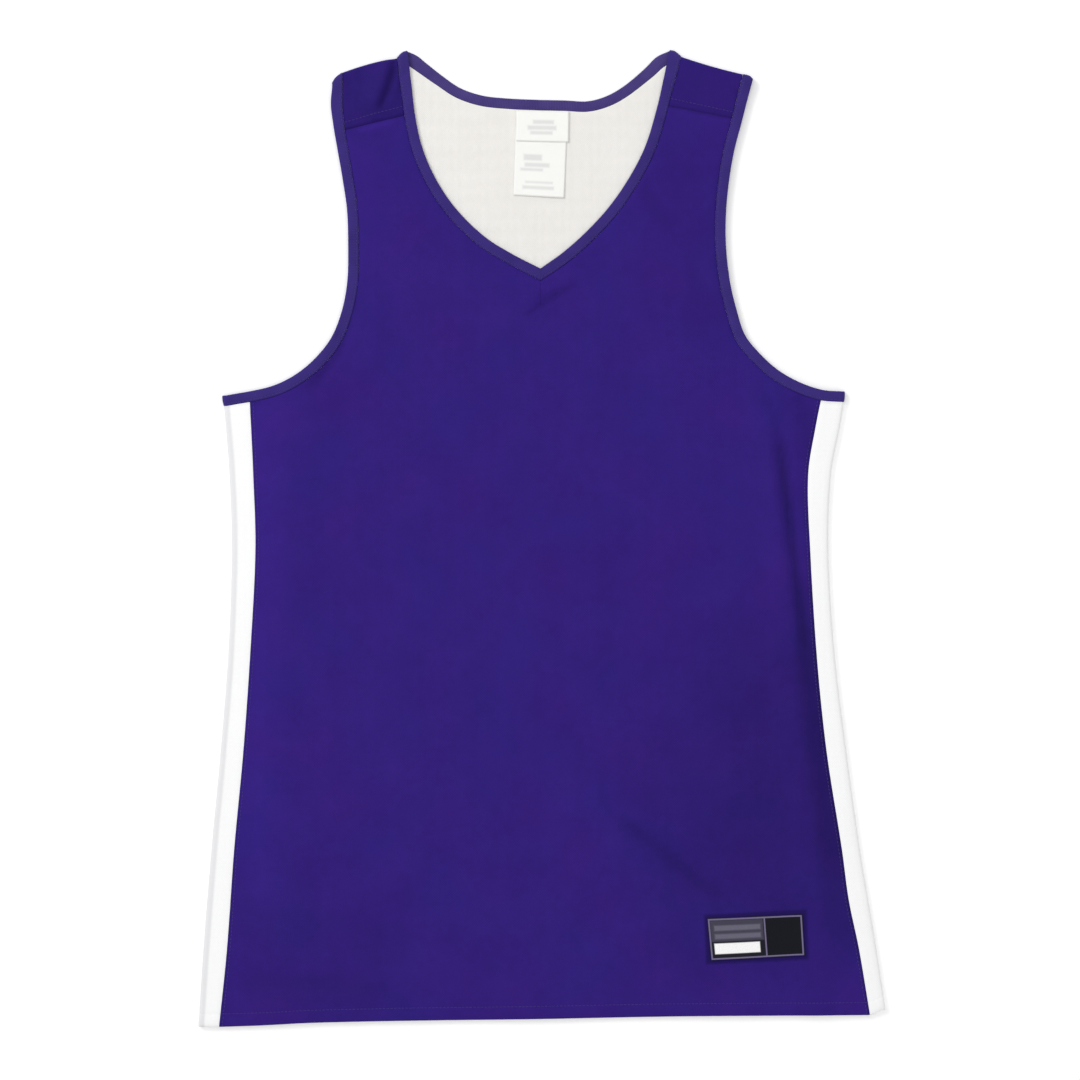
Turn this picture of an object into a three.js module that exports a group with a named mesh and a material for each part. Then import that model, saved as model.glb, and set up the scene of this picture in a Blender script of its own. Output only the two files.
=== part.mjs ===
// Basketball jersey, reversible and sleeveless, laid flat on its back with the front up.
// Millimetres. +X is the wearer's left, +Y runs from the hem to the neck, +Z is up.

import * as THREE from 'three';

// Thickness of each cloth
const body_wall = 1.2;
const side_wall = 1.2;
const lining_wall = 1.0;
const label_wall = 1.0;
const patch_wall = 1.0;
const binding_wall = 1.8;
const back_neck_wall = 2.4;

// Widths, gaps and levels
const binding_width = 8;
const seam_gap = 0.32;
const fold_gap = 0.7;
const forward_gap = 0.38;
const layer_gap = 0.3;
const lining_level = body_wall + layer_gap;
const front_level = lining_level + lining_wall + layer_gap;
const fold_reach = 2.6;
const shoulder_rise = 1.0;
const shoulder_blend = 22;
const underarm_blend = 14;
const center_x = -1.2;
const armpit_y = 481.5;
const v_point_depth = 9.1;

// How finely each run is divided
const side_rows = 22;
const underarm_rows = 3;
const center_front_rows = 8;
const neck_front_rows = 16;
const armhole_rows = center_front_rows + neck_front_rows;
const yoke_rows = 4;
const center_back_rows = 14;
const neck_back_rows = 14;
const fold_steps = 8;
const arc_divisions = 800;
const front_columns = 14;
const back_columns = 6;
const lining_columns = 3;
const binding_columns = 3;

// Cloth colours
const purple = { color: 0x32207a, roughness: 0.85, metalness: 0 };
const binding_purple = { color: 0x382678, roughness: 0.9, metalness: 0 };
const white_knit = { color: 0xf4f3f2, roughness: 0.9, metalness: 0 };
const lining_white = { color: 0xefede8, roughness: 0.9, metalness: 0 };
const label_white = { color: 0xf9f8fb, roughness: 0.7, metalness: 0 };
const patch_dark = { color: 0x25262f, roughness: 0.6, metalness: 0 };

// Bottom edge of front and back, left to right
const hem = [
  { x: -248.7, y: 0.0 },
  { x: -217.1, y: 1.1 },
  { x: -181.0, y: 3.0 },
  { x: -137.8, y: 4.1 },
  { x: -91.6, y: 4.9 },
  { x: -7.7, y: 6.0 },
  { x: 75.5, y: 7.6 },
  { x: 128.6, y: 8.4 },
  { x: 198.7, y: 8.8 },
  { x: 254.0, y: 9.1 },
];

// Front neck edge from the point of the V to the shoulder tip
const neck_front_right = [
  { x: -1.2, y: 584.0 },
  { x: -23.1, y: 595.2 },
  { x: -43.9, y: 608.3 },
  { x: -65.5, y: 629.1 },
  { x: -80.9, y: 651.4 },
  { x: -91.6, y: 675.3 },
  { x: -97.4, y: 699.9 },
  { x: -100.6, y: 726.0 },
  { x: -104.0, y: 752.7 },
];
const neck_front_left = [
  { x: -1.2, y: 584.0 },
  { x: 16.2, y: 596.4 },
  { x: 33.9, y: 612.1 },
  { x: 51.6, y: 631.4 },
  { x: 67.0, y: 653.7 },
  { x: 79.3, y: 677.6 },
  { x: 88.5, y: 707.6 },
  { x: 93.6, y: 730.0 },
  { x: 98.6, y: 753.1 },
];

// Back neck edge from its middle to the shoulder tip
const neck_back_right = [
  { x: -1.2, y: 714.2 },
  { x: -24.6, y: 715.2 },
  { x: -46.2, y: 717.6 },
  { x: -63.1, y: 723.4 },
  { x: -76.2, y: 732.2 },
  { x: -88.6, y: 742.0 },
  { x: -96.8, y: 749.2 },
  { x: -104.0, y: 752.7 },
];
const neck_back_left = [
  { x: -1.2, y: 714.2 },
  { x: 17.7, y: 713.8 },
  { x: 35.4, y: 713.2 },
  { x: 50.1, y: 717.3 },
  { x: 63.1, y: 724.8 },
  { x: 79.3, y: 738.4 },
  { x: 88.9, y: 748.2 },
  { x: 98.6, y: 753.1 },
];

// Armhole edge from the side fold to the outer shoulder; the second row is over the side seam
const armhole_right = [
  { x: -246.4, y: 486.2 },
  { x: -226.4, y: 489.2 },
  { x: -205.6, y: 494.3 },
  { x: -187.9, y: 503.6 },
  { x: -173.6, y: 515.9 },
  { x: -161.9, y: 531.3 },
  { x: -153.9, y: 552.1 },
  { x: -149.9, y: 574.0 },
  { x: -149.2, y: 602.1 },
  { x: -150.1, y: 629.1 },
  { x: -153.4, y: 652.2 },
  { x: -157.4, y: 675.3 },
  { x: -160.8, y: 695.3 },
  { x: -162.7, y: 711.5 },
  { x: -162.0, y: 728.4 },
];
const armhole_left = [
  { x: 233.3, y: 489.4 },
  { x: 216.2, y: 490.5 },
  { x: 198.7, y: 496.3 },
  { x: 181.7, y: 505.9 },
  { x: 167.2, y: 519.0 },
  { x: 156.3, y: 532.8 },
  { x: 149.4, y: 553.6 },
  { x: 144.7, y: 574.0 },
  { x: 141.6, y: 602.1 },
  { x: 141.7, y: 627.6 },
  { x: 144.1, y: 652.2 },
  { x: 148.1, y: 675.3 },
  { x: 153.6, y: 696.1 },
  { x: 158.1, y: 713.8 },
  { x: 162.9, y: 731.5 },
];

// Side panels: the seam to the front, and the folded side edge
const side_right = [
  { y: 0.0, seam: -248.7, edge: -264.9 },
  { y: 59.3, seam: -242.6, edge: -261.0 },
  { y: 136.3, seam: -237.0, edge: -254.8 },
  { y: 213.3, seam: -229.8, edge: -247.6 },
  { y: 290.3, seam: -224.4, edge: -241.6 },
  { y: 367.3, seam: -220.6, edge: -239.0 },
  { y: 425.0, seam: -222.3, edge: -240.6 },
  { y: 490.0, seam: -225.4, edge: -245.4 },
];
const side_left = [
  { y: 8.0, seam: 252.8, edge: 265.6 },
  { y: 59.3, seam: 244.2, edge: 257.8 },
  { y: 97.8, seam: 236.2, edge: 251.4 },
  { y: 136.3, seam: 231.0, edge: 245.0 },
  { y: 213.3, seam: 219.0, edge: 234.4 },
  { y: 290.3, seam: 211.2, edge: 225.2 },
  { y: 367.3, seam: 206.6, edge: 220.6 },
  { y: 425.0, seam: 205.2, edge: 222.4 },
  { y: 463.5, seam: 211.4, edge: 229.3 },
  { y: 490.0, seam: 217.0, edge: 233.4 },
];

// Soft ridges of the front: where each starts and ends, its half width and its height.
// Where ridges meet they blend, so that neither adds its whole height to the other
const ridges = [
  { x0: -119, y0: 744, x1: -131, y1: 706, half: 8, height: 2.4 },
  { x0: -176, y0: 480, x1: -138, y1: 508, half: 13, height: 1.8 },
  { x0: -138, y0: 508, x1: -133, y1: 552, half: 13, height: 1.8 },
  { x0: -96, y0: 566, x1: -30, y1: 540, half: 15, height: 1.4 },
  { x0: 24, y0: 576, x1: -14, y1: 553, half: 9, height: 1.2 },
  { x0: 170, y0: 458, x1: 189, y1: 335, half: 12, height: 2.6 },
  { x0: 189, y0: 335, x1: 206, y1: 150, half: 14, height: 2.4 },
  { x0: 206, y0: 150, x1: 212, y1: 20, half: 15, height: 1.8 },
  { x0: 40, y0: 165, x1: 118, y1: 112, half: 16, height: 1.6 },
  { x0: 120, y0: 300, x1: 150, y1: 60, half: 42, height: 1.8 },
  { x0: -192, y0: 450, x1: -206, y1: 70, half: 22, height: 1.6 },
  { x0: -40, y0: 470, x1: -90, y1: 120, half: 46, height: 1.0 },
  { x0: -200, y0: 22, x1: -120, y1: 30, half: 13, height: 1.4 },
];
const ridge_blend = 3;

// Each side of the garment with its own edges and seams
const sides = {
  right: {
    sign: -1,
    neck_front: neck_front_right,
    neck_back: neck_back_right,
    armhole: armhole_right,
    panel: side_right,
    hem_edge_y: 0,
    neck_fold: { x: -111.7, y: 746.2 },
    armhole_fold: { x: -154.0, y: 735.2 },
    fold_bow: 1.2,
    yoke_neck: 50,
    yoke_armhole: 39.5,
  },
  left: {
    sign: 1,
    neck_front: neck_front_left,
    neck_back: neck_back_left,
    armhole: armhole_left,
    panel: side_left,
    hem_edge_y: 13.1,
    neck_fold: { x: 107.0, y: 747.6 },
    armhole_fold: { x: 155.0, y: 733.9 },
    fold_bow: -0.8,
    yoke_neck: 43,
    yoke_armhole: 35,
  },
};

// Labels and patch: corners from the lower -X one, anticlockwise
const short_label = [
  { x: -20.0, y: 682.3 },
  { x: 20.6, y: 681.4 },
  { x: 20.9, y: 704.4 },
  { x: -20.0, y: 704.8 },
];
const long_label = [
  { x: -22.2, y: 640.6 },
  { x: 17.2, y: 638.4 },
  { x: 20.0, y: 704.2 },
  { x: -19.8, y: 704.6 },
];
const hem_patch = [
  { x: 130.1, y: 51.6 },
  { x: 202.1, y: 55.4 },
  { x: 200.2, y: 87.0 },
  { x: 127.0, y: 83.9 },
];
const label_columns = 4;
const short_label_rows = 4;
const long_label_rows = 9;
const patch_columns = 8;
const patch_rows = 4;
const short_label_curl = 1.2;
const long_label_curl = 1.0;
const ray_height = 100;

// Small helpers
const mix = (a, b, t) => a + (b - a) * t;
const smooth = (t) => {
  const c = Math.min(1, Math.max(0, t));
  return c * c * (3 - 2 * c);
};
const flat = (p) => new THREE.Vector3(p.x, p.y, 0);
const between = (a, b, t) => a.clone().lerp(b, t);

// A smooth line through the rows of a table
function smooth_line(rows) {
  return new THREE.CatmullRomCurve3(rows.map((row) => flat(row)), false, 'centripetal');
}

// A value read from a table on a smooth line between two of its rows
function read(rows, key, column, at) {
  const last = rows.length - 1;
  let i = 0;
  while (i < last - 1 && at > rows[i + 1][key]) i += 1;
  const slope = (k) => {
    const a = rows[Math.max(0, k - 1)];
    const b = rows[Math.min(last, k + 1)];
    return (b[column] - a[column]) / (b[key] - a[key]);
  };
  const a = rows[i];
  const b = rows[i + 1];
  const span = b[key] - a[key];
  const t = Math.min(1, Math.max(0, (at - a[key]) / span));
  const near_a = t * (1 - t) * (1 - t) * span * slope(i);
  const near_b = t * t * (t - 1) * span * slope(i + 1);
  return mix(a[column], b[column], smooth(t)) + near_a + near_b;
}

// Height that the folds add to the front at one place
function lift(x, y) {
  let height = 0;
  for (const ridge of ridges) {
    const along_x = ridge.x1 - ridge.x0;
    const along_y = ridge.y1 - ridge.y0;
    const length = Math.hypot(along_x, along_y);
    const t = ((x - ridge.x0) * along_x + (y - ridge.y0) * along_y) / (length * length);
    const nearest = Math.min(1, Math.max(0, t));
    const dx = x - mix(ridge.x0, ridge.x1, nearest);
    const dy = y - mix(ridge.y0, ridge.y1, nearest);
    const share = ridge.height * Math.exp(-(dx * dx + dy * dy) / (ridge.half * ridge.half));
    height += share ** ridge_blend;
  }
  return height ** (1 / ridge_blend);
}

// Direction across a line, turned away from the opening that it edges
function across(tangent, turn) {
  return new THREE.Vector3(-tangent.y * turn, tangent.x * turn, 0).normalize();
}

// Evenly spaced distances from one place to another, without the first
function steps(from, to, count) {
  return Array.from({ length: count }, (_, i) => mix(from, to, (i + 1) / count));
}

// Rungs of a binding along one edge: its edge, its seam and the edge of the panel beyond the gap
function rungs(rows, turn, fold, sections) {
  const line = smooth_line(rows);
  line.arcLengthDivisions = arc_divisions;
  const total = line.getLength();
  const fold_width = fold.seam.distanceTo(fold.edge);
  const fold_way = fold.seam.clone().sub(fold.edge).normalize();
  return sections(total).map((distance) => {
    const edge = line.getPointAt(distance / total);
    const straight = across(line.getTangentAt(distance / total), turn);
    const turned = smooth(1 - (total - distance) / (2 * shoulder_blend));
    const way = between(straight, fold_way, turned).normalize();
    const gap_way = between(straight, fold.along, turned).normalize();
    const seam = edge.clone().addScaledVector(way, mix(binding_width, fold_width, turned));
    const panel = seam.clone().addScaledVector(gap_way, mix(seam_gap, fold_gap, turned));
    const near = smooth(1 - (total - distance) / shoulder_blend);
    return { edge, seam, panel, near, distance };
  });
}

// The rung in the middle of the neck runs straight down, so that both halves share it
function center_rung(rung, depth) {
  rung.seam = rung.edge.clone().add(new THREE.Vector3(0, -depth, 0));
  rung.panel = rung.seam.clone().add(new THREE.Vector3(0, -seam_gap * depth / binding_width, 0));
}

// Moves every point of the rungs back by the reach of the fold that they run into
function draw_back(list, way, share) {
  for (const rung of list) {
    const step = way.clone().multiplyScalar(-fold_reach * share(rung));
    for (const key of ['edge', 'seam', 'panel']) rung[key].add(step);
  }
}

// Every edge of one side, worked out once and shared by the pieces that meet there
function layout(side) {
  const neck_seam = flat(side.neck_fold);
  const arm_seam = flat(side.armhole_fold);
  const along = arm_seam.clone().sub(neck_seam).normalize();
  const back_along = along.clone().negate();
  const outward = new THREE.Vector3(-along.y * side.sign, along.x * side.sign, 0);
  const sideways = new THREE.Vector3(side.sign, 0, 0);
  const neck_fold = { edge: flat(side.neck_front.at(-1)), seam: neck_seam, along };
  const arm_fold = { edge: flat(side.armhole.at(-1)), seam: arm_seam, along: back_along };

  const neck_front = rungs(side.neck_front, -side.sign, neck_fold, (total) => [
    0,
    ...steps(0, total - side.yoke_neck, neck_front_rows),
    ...steps(total - side.yoke_neck, total, yoke_rows),
  ]);
  const neck_back = rungs(side.neck_back, -side.sign, neck_fold, (total) => [
    0,
    ...steps(0, total, neck_back_rows),
  ]);
  const under = flat(side.armhole[0]).distanceTo(flat(side.armhole[1]));
  const armhole = rungs(side.armhole, side.sign, arm_fold, (total) => [
    0,
    ...steps(0, under, underarm_rows),
    ...steps(under, total - side.yoke_armhole, armhole_rows),
    ...steps(total - side.yoke_armhole, total, yoke_rows),
  ]);
  center_rung(neck_front[0], v_point_depth);
  center_rung(neck_back[0], binding_width);
  for (const list of [neck_front, neck_back, armhole]) {
    draw_back(list, outward, (rung) => rung.near);
  }
  draw_back(armhole, sideways, (rung) => smooth(1 - rung.distance / underarm_blend));

  const corner = armhole[underarm_rows].panel;
  const hem_y = read(hem, 'x', 'y', side.panel[0].seam);
  const seam = [];
  for (let i = 0; i < side_rows; i += 1) {
    const y = mix(hem_y, corner.y, i / side_rows);
    seam.push(new THREE.Vector3(read(side.panel, 'y', 'seam', y), y, 0));
  }
  seam.push(new THREE.Vector3(corner.x + side.sign * seam_gap / 2, corner.y, 0));
  return { side, along, outward, sideways, neck_front, neck_back, armhole, seam, corner };
}

// Heights of the two layers, at the middle of a cloth of the given thickness
function front_z(x, y, thickness, near) {
  return front_level + thickness / 2 + lift(x, y) + shoulder_rise * near;
}
const back_z = (thickness) => thickness / 2;

// A grid of points with a thickness each, joined to a sheet by rows and columns
class Sheet {
  constructor() {
    this.points = [];
    this.thickness = [];
    this.quads = [];
    this.index = new Map();
  }

  add(point, thickness) {
    const key = [point.x, point.y, point.z].map((v) => Math.round(v * 1e4)).join(' ');
    if (!this.index.has(key)) {
      this.index.set(key, this.points.length);
      this.points.push(point);
      this.thickness.push(thickness);
    }
    return this.index.get(key);
  }

  grid(rows, closed = false) {
    const ids = rows.map((row) => row.map((cell) => this.add(cell.point, cell.thickness)));
    const count = closed ? ids.length : ids.length - 1;
    for (let i = 0; i < count; i += 1) {
      const a = ids[i];
      const b = ids[(i + 1) % ids.length];
      for (let j = 0; j + 1 < a.length; j += 1) this.quads.push([a[j], a[j + 1], b[j + 1], b[j]]);
    }
  }

  // The closed wall around the sheet: both faces and a rim along every open edge
  solid() {
    const triangles = this.quads.flatMap(([a, b, c, d]) => [[a, b, c], [a, c, d]]);
    const normals = this.points.map(() => new THREE.Vector3());
    for (const [a, b, c, d] of this.quads) {
      const one = this.points[c].clone().sub(this.points[a]);
      const two = this.points[d].clone().sub(this.points[b]);
      const normal = one.cross(two).normalize();
      for (const id of [a, b, c, d]) normals[id].add(normal);
    }
    const count = this.points.length;
    const position = new Float32Array(count * 6);
    this.points.forEach((point, id) => {
      const half = normals[id].normalize().clone().multiplyScalar(this.thickness[id] / 2);
      point.clone().add(half).toArray(position, id * 3);
      point.clone().sub(half).toArray(position, (count + id) * 3);
    });
    const faces = [];
    const open = new Map();
    for (const [a, b, c] of triangles) {
      faces.push(a, b, c, count + a, count + c, count + b);
      for (const [from, to] of [[a, b], [b, c], [c, a]]) {
        if (open.has(`${to} ${from}`)) open.delete(`${to} ${from}`);
        else open.set(`${from} ${to}`, [from, to]);
      }
    }
    for (const [from, to] of open.values()) {
      faces.push(from, count + from, count + to, from, count + to, to);
    }
    const geometry = new THREE.BufferGeometry();
    geometry.setAttribute('position', new THREE.BufferAttribute(position, 3));
    geometry.setIndex(faces);
    return geometry;
  }
}

const cell = (x, y, z, thickness) => ({ point: new THREE.Vector3(x, y, z), thickness });

// Points around a fold, from the lower layer to the upper one, without its two ends
function fold_cells(low, high, way) {
  const cells = [];
  for (let i = 1; i < fold_steps; i += 1) {
    const angle = (Math.PI * i) / fold_steps;
    const thickness = mix(low.thickness, high.thickness, i / fold_steps);
    const reach = (fold_reach - thickness / 2) * Math.sin(angle);
    const point = between(low.point, high.point, (1 - Math.cos(angle)) / 2);
    cells.push({ point: point.addScaledVector(way, reach), thickness });
  }
  return cells;
}

// One row across a half panel, from its middle or neck to its side or armhole
function panel_row(inner, outer, columns, bow, near, height) {
  return Array.from({ length: columns + 1 }, (_, j) => {
    const s = j / columns;
    const rise = mix(near[0], near[1], s);
    const x = mix(inner.x, outer.x, s);
    const y = mix(inner.y, outer.y, s) + bow * Math.sin(Math.PI * s) * rise;
    return cell(x, y, height(x, y, rise), body_wall);
  });
}

// Rows from the hem up to the armpit, with the lower edge following the hem
function lower_rows(half, columns, height) {
  const { side, seam, corner } = half;
  const rows = [];
  for (let i = 0; i <= side_rows; i += 1) {
    const outer_x = seam[i].x - side.sign * seam_gap / 2;
    const row = [];
    for (let j = 0; j <= columns; j += 1) {
      const x = mix(center_x, outer_x, j / columns);
      const top = mix(armpit_y, corner.y, j / columns);
      const y = mix(read(hem, 'x', 'y', x), top, i / side_rows);
      row.push(cell(x, y, height(x, y, 0), body_wall));
    }
    row[columns].point.y = seam[i].y;
    rows.push(row);
  }
  return rows;
}

// Rows of the front from the armpit to the forward shoulder seam
function front_rows(half) {
  const { side, neck_front, armhole } = half;
  const height = (x, y, near) => front_z(x, y, body_wall, near);
  const rows = lower_rows(half, front_columns, height);
  for (let j = 1; j <= armhole_rows; j += 1) {
    const outer = armhole[underarm_rows + j].panel.clone();
    const k = j - center_front_rows;
    const inner = k >= 0 ? neck_front[k].panel.clone()
      : new THREE.Vector3(center_x, mix(armpit_y, neck_front[0].panel.y, j / center_front_rows), 0);
    if (j === armhole_rows) {
      inner.y -= forward_gap / 2;
      outer.y -= forward_gap / 2;
    }
    rows.push(panel_row(inner, outer, front_columns, side.fold_bow, [0, 0], height));
  }
  return rows;
}

// Rows of the back's lower layer from the hem to the shoulder fold
function back_flat_rows(half, columns) {
  const { side, neck_back, armhole } = half;
  const height = () => back_z(body_wall);
  const rows = lower_rows(half, columns, height);
  for (let j = 1; j <= center_back_rows + neck_back_rows; j += 1) {
    const outer = armhole[underarm_rows + j];
    const k = j - center_back_rows;
    const middle_y = mix(armpit_y, neck_back[0].panel.y, j / center_back_rows);
    const inner = k >= 0 ? neck_back[k].panel : new THREE.Vector3(center_x, middle_y, 0);
    const near = [k >= 0 ? neck_back[k].near : 0, outer.near];
    rows.push(panel_row(inner, outer.panel, columns, side.fold_bow, near, height));
  }
  return rows;
}

// Rows of the back from the shoulder fold forward to the seam
function yoke_cells(half, columns) {
  const { side, neck_front, armhole } = half;
  const height = (x, y, near) => front_z(x, y, body_wall, near);
  const rows = [];
  for (let k = yoke_rows; k >= 0; k -= 1) {
    const neck = neck_front[neck_front_rows + k];
    const arm = armhole[underarm_rows + armhole_rows + k];
    const inner = neck.panel.clone();
    const outer = arm.panel.clone();
    if (k === 0) {
      inner.y += forward_gap / 2;
      outer.y += forward_gap / 2;
    }
    rows.push(panel_row(inner, outer, columns, side.fold_bow, [neck.near, arm.near], height));
  }
  return rows;
}

// Rows of a half grid are turned round at the wearer's right, so that both halves face one way
const facing = (half, rows) => (half.side.sign > 0 ? rows : rows.map((row) => [...row].reverse()));

function make_front(halves) {
  const sheet = new Sheet();
  for (const half of halves) sheet.grid(facing(half, front_rows(half)));
  return sheet.solid();
}

function make_back(halves) {
  const sheet = new Sheet();
  for (const half of halves) {
    const low = back_flat_rows(half, back_columns);
    const high = yoke_cells(half, back_columns);
    const columns = low.at(-1).map((start, j) => fold_cells(start, high[0][j], half.outward));
    const around = columns[0].map((_, i) => columns.map((column) => column[i]));
    sheet.grid(facing(half, [...low, ...around, ...high]));
  }
  return sheet.solid();
}

// The lining follows the back's lower layer and stops inside its seams and its shoulder fold
function make_lining(halves) {
  const sheet = new Sheet();
  for (const half of halves) {
    const rows = back_flat_rows(half, lining_columns).map((row) => row.map(({ point }) => (
      cell(point.x, point.y, lining_level + lining_wall / 2, lining_wall)
    )));
    sheet.grid(facing(half, rows));
  }
  return sheet.solid();
}

function make_side(half) {
  const { side, seam, armhole, sideways } = half;
  const top = armhole.slice(0, underarm_rows + 1).map((rung) => rung.panel.clone());
  top[underarm_rows].x += side.sign * seam_gap;
  const span = top[underarm_rows].x - top[0].x;
  const share = top.map((point) => (point.x - top[0].x) / span);
  const hem_edge = side.hem_edge_y;
  const rows = [];
  for (let i = 0; i <= side_rows; i += 1) {
    const upper = [];
    const lower = [];
    for (let k = 0; k <= underarm_rows; k += 1) {
      const y = mix(mix(hem_edge, seam[0].y, share[k]), top[k].y, i / side_rows);
      const fold_x = read(side.panel, 'y', 'edge', y) - side.sign * fold_reach;
      const seam_x = seam[i].x + side.sign * seam_gap / 2;
      const x = i === side_rows ? top[k].x : mix(fold_x, seam_x, share[k]);
      upper.push(cell(x, y, front_z(x, y, side_wall, 0), side_wall));
      lower.push(cell(x, y, back_z(side_wall), side_wall));
    }
    const around = fold_cells(lower[0], upper[0], sideways);
    rows.push([...upper.reverse(), ...around.reverse(), ...lower]);
  }
  const sheet = new Sheet();
  sheet.grid(facing(half, rows));
  return sheet.solid();
}

// One rung of a binding as cells from its edge to its seam
function rung_cells(rung, thickness, height) {
  return Array.from({ length: binding_columns + 1 }, (_, j) => {
    const point = between(rung.edge, rung.seam, j / binding_columns);
    return cell(point.x, point.y, height(point.x, point.y, thickness, rung.near), thickness);
  });
}

// The rungs around a fold, between the lower and the upper rung
function fold_rungs(low, high, way) {
  const columns = low.map((start, j) => fold_cells(start, high[j], way));
  return columns[0].map((_, i) => columns.map((column) => column[i]));
}

function make_neck_binding(halves) {
  const loops = halves.map((half) => {
    const front = half.neck_front.map((rung) => rung_cells(rung, binding_wall, front_z));
    const back = half.neck_back.map((rung) => rung_cells(rung, back_neck_wall, (x, y, t) => back_z(t)));
    const around = fold_rungs(back.at(-1), front.at(-1), half.outward);
    return [...back, ...around, ...front.reverse()];
  });
  const sheet = new Sheet();
  const [right, left] = loops;
  sheet.grid([...left, ...right.reverse().slice(1, -1)], true);
  return sheet.solid();
}

function make_armhole_binding(half) {
  const front = half.armhole.map((rung) => rung_cells(rung, binding_wall, front_z));
  const back = half.armhole.map((rung) => rung_cells(rung, binding_wall, (x, y, t) => back_z(t)));
  const over_shoulder = fold_rungs(back.at(-1), front.at(-1), half.outward);
  const around_side = fold_rungs(back[0], front[0], half.sideways);
  const loop = [...front, ...over_shoulder.reverse(), ...back.reverse(), ...around_side];
  const sheet = new Sheet();
  sheet.grid(half.side.sign > 0 ? loop : loop.reverse(), true);
  return sheet.solid();
}

// A flat piece between four corners, with its height read at each point
function corner_sheet(corners, columns, rows, thickness, height) {
  const [a, b, c, d] = corners.map((corner) => flat(corner));
  const grid = Array.from({ length: rows + 1 }, (_, i) => (
    Array.from({ length: columns + 1 }, (__, j) => {
      const low = between(a, b, j / columns);
      const point = low.lerp(between(d, c, j / columns), i / rows);
      return cell(point.x, point.y, height(point.x, point.y, i / rows), thickness);
    })
  ));
  const sheet = new Sheet();
  sheet.grid(grid);
  return sheet.solid();
}

// The free end of each leaf lifts a little off the lining
const long_length = long_label[2].y - long_label[1].y;
function long_label_z(x, y) {
  const free = 1 - Math.min(1, Math.max(0, (y - long_label[1].y) / long_length));
  return lining_level + lining_wall + layer_gap + label_wall / 2 + long_label_curl * free * free;
}
const make_long_label = () => (
  corner_sheet(long_label, label_columns, long_label_rows, label_wall, long_label_z)
);
const make_short_label = () => (
  corner_sheet(short_label, label_columns, short_label_rows, label_wall, (x, y, v) => (
    long_label_z(x, y) + label_wall + layer_gap + short_label_curl * (1 - v) * (1 - v)
  ))
);

// The patch lies on the front and takes its height from it
function make_patch(front) {
  const ray = new THREE.Raycaster();
  const down = new THREE.Vector3(0, 0, -1);
  return corner_sheet(hem_patch, patch_columns, patch_rows, patch_wall, (x, y) => {
    ray.set(new THREE.Vector3(x, y, ray_height), down);
    return ray.intersectObject(front)[0].point.z + layer_gap + patch_wall / 2;
  });
}

function piece(name, geometry, finish) {
  const mesh = new THREE.Mesh(geometry, new THREE.MeshStandardMaterial(finish));
  mesh.name = name;
  return mesh;
}

const halves = [layout(sides.right), layout(sides.left)];
const front = piece('front', make_front(halves), purple);
const jersey = new THREE.Group();
jersey.add(
  front,
  piece('back', make_back(halves), purple),
  piece('back_lining', make_lining(halves), lining_white),
  piece('side_panel_right', make_side(halves[0]), white_knit),
  piece('side_panel_left', make_side(halves[1]), white_knit),
  piece('neck_binding', make_neck_binding(halves), binding_purple),
  piece('armhole_binding_right', make_armhole_binding(halves[0]), binding_purple),
  piece('armhole_binding_left', make_armhole_binding(halves[1]), binding_purple),
  piece('neck_label_long', make_long_label(), label_white),
  piece('neck_label_short', make_short_label(), label_white),
  piece('hem_patch', make_patch(front), patch_dark),
);

// The origin lies under the middle of the garment, on the surface that it rests on
const box = new THREE.Box3().setFromObject(jersey);
const middle = box.getCenter(new THREE.Vector3());
for (const mesh of jersey.children) mesh.geometry.translate(-middle.x, -middle.y, -box.min.z);

export default jersey;
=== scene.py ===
# %% [markdown]
# # A basketball jersey laid flat
# The jersey lies on its back with the front up, seen from straight above. Its solids come
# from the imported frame, and every cloth here is a fine closed shell on one of them.
# Only the frame is read, so the script gives the same jersey each time that it runs.

import math

import bpy
import numpy as np
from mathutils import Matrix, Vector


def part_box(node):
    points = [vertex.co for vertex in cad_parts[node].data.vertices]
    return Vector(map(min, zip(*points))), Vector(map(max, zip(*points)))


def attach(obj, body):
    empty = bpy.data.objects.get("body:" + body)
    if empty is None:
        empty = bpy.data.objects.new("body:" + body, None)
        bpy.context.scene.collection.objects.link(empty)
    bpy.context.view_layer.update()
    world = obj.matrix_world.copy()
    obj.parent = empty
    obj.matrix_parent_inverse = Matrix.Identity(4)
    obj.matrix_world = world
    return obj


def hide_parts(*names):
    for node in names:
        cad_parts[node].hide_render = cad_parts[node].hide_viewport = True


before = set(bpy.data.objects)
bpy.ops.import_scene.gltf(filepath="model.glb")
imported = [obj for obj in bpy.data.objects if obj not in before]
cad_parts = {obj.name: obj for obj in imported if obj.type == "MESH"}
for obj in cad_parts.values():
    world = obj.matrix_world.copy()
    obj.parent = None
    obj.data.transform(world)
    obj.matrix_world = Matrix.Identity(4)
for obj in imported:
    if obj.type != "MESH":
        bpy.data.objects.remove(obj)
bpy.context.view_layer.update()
bpy.ops.object.select_all(action="DESELECT")
print("frame:", sorted(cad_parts))

# %% [markdown]
# ## The cut, in millimetres
# Cloth is cut from a pattern, so the shells are too: short tables give the hem, the neck,
# the armholes and the side seams, and smooth lines run through their rows. Tracing the
# solids' own triangles would give coarse edges; the same pattern drawn finer does not.
# x runs to the wearer's left, y from the hem to the neck, z up from the table.

# %% Named sizes and tables
body_wall, side_wall, lining_wall = 1.2, 1.2, 1.0
binding_wall, back_neck_wall = 1.8, 2.4
binding_width, seam_gap, fold_gap, layer_gap = 8.0, 0.12, 0.2, 0.3
lining_level = body_wall + layer_gap
front_level = lining_level + lining_wall + layer_gap
fold_reach, shoulder_rise, shoulder_blend, underarm_blend = 2.6, 1.0, 22.0, 14.0
tip_rise, tip_blend = 1.4, 20.0
center_x, armpit_y, v_point_depth = -1.2, 481.5, 9.1


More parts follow.
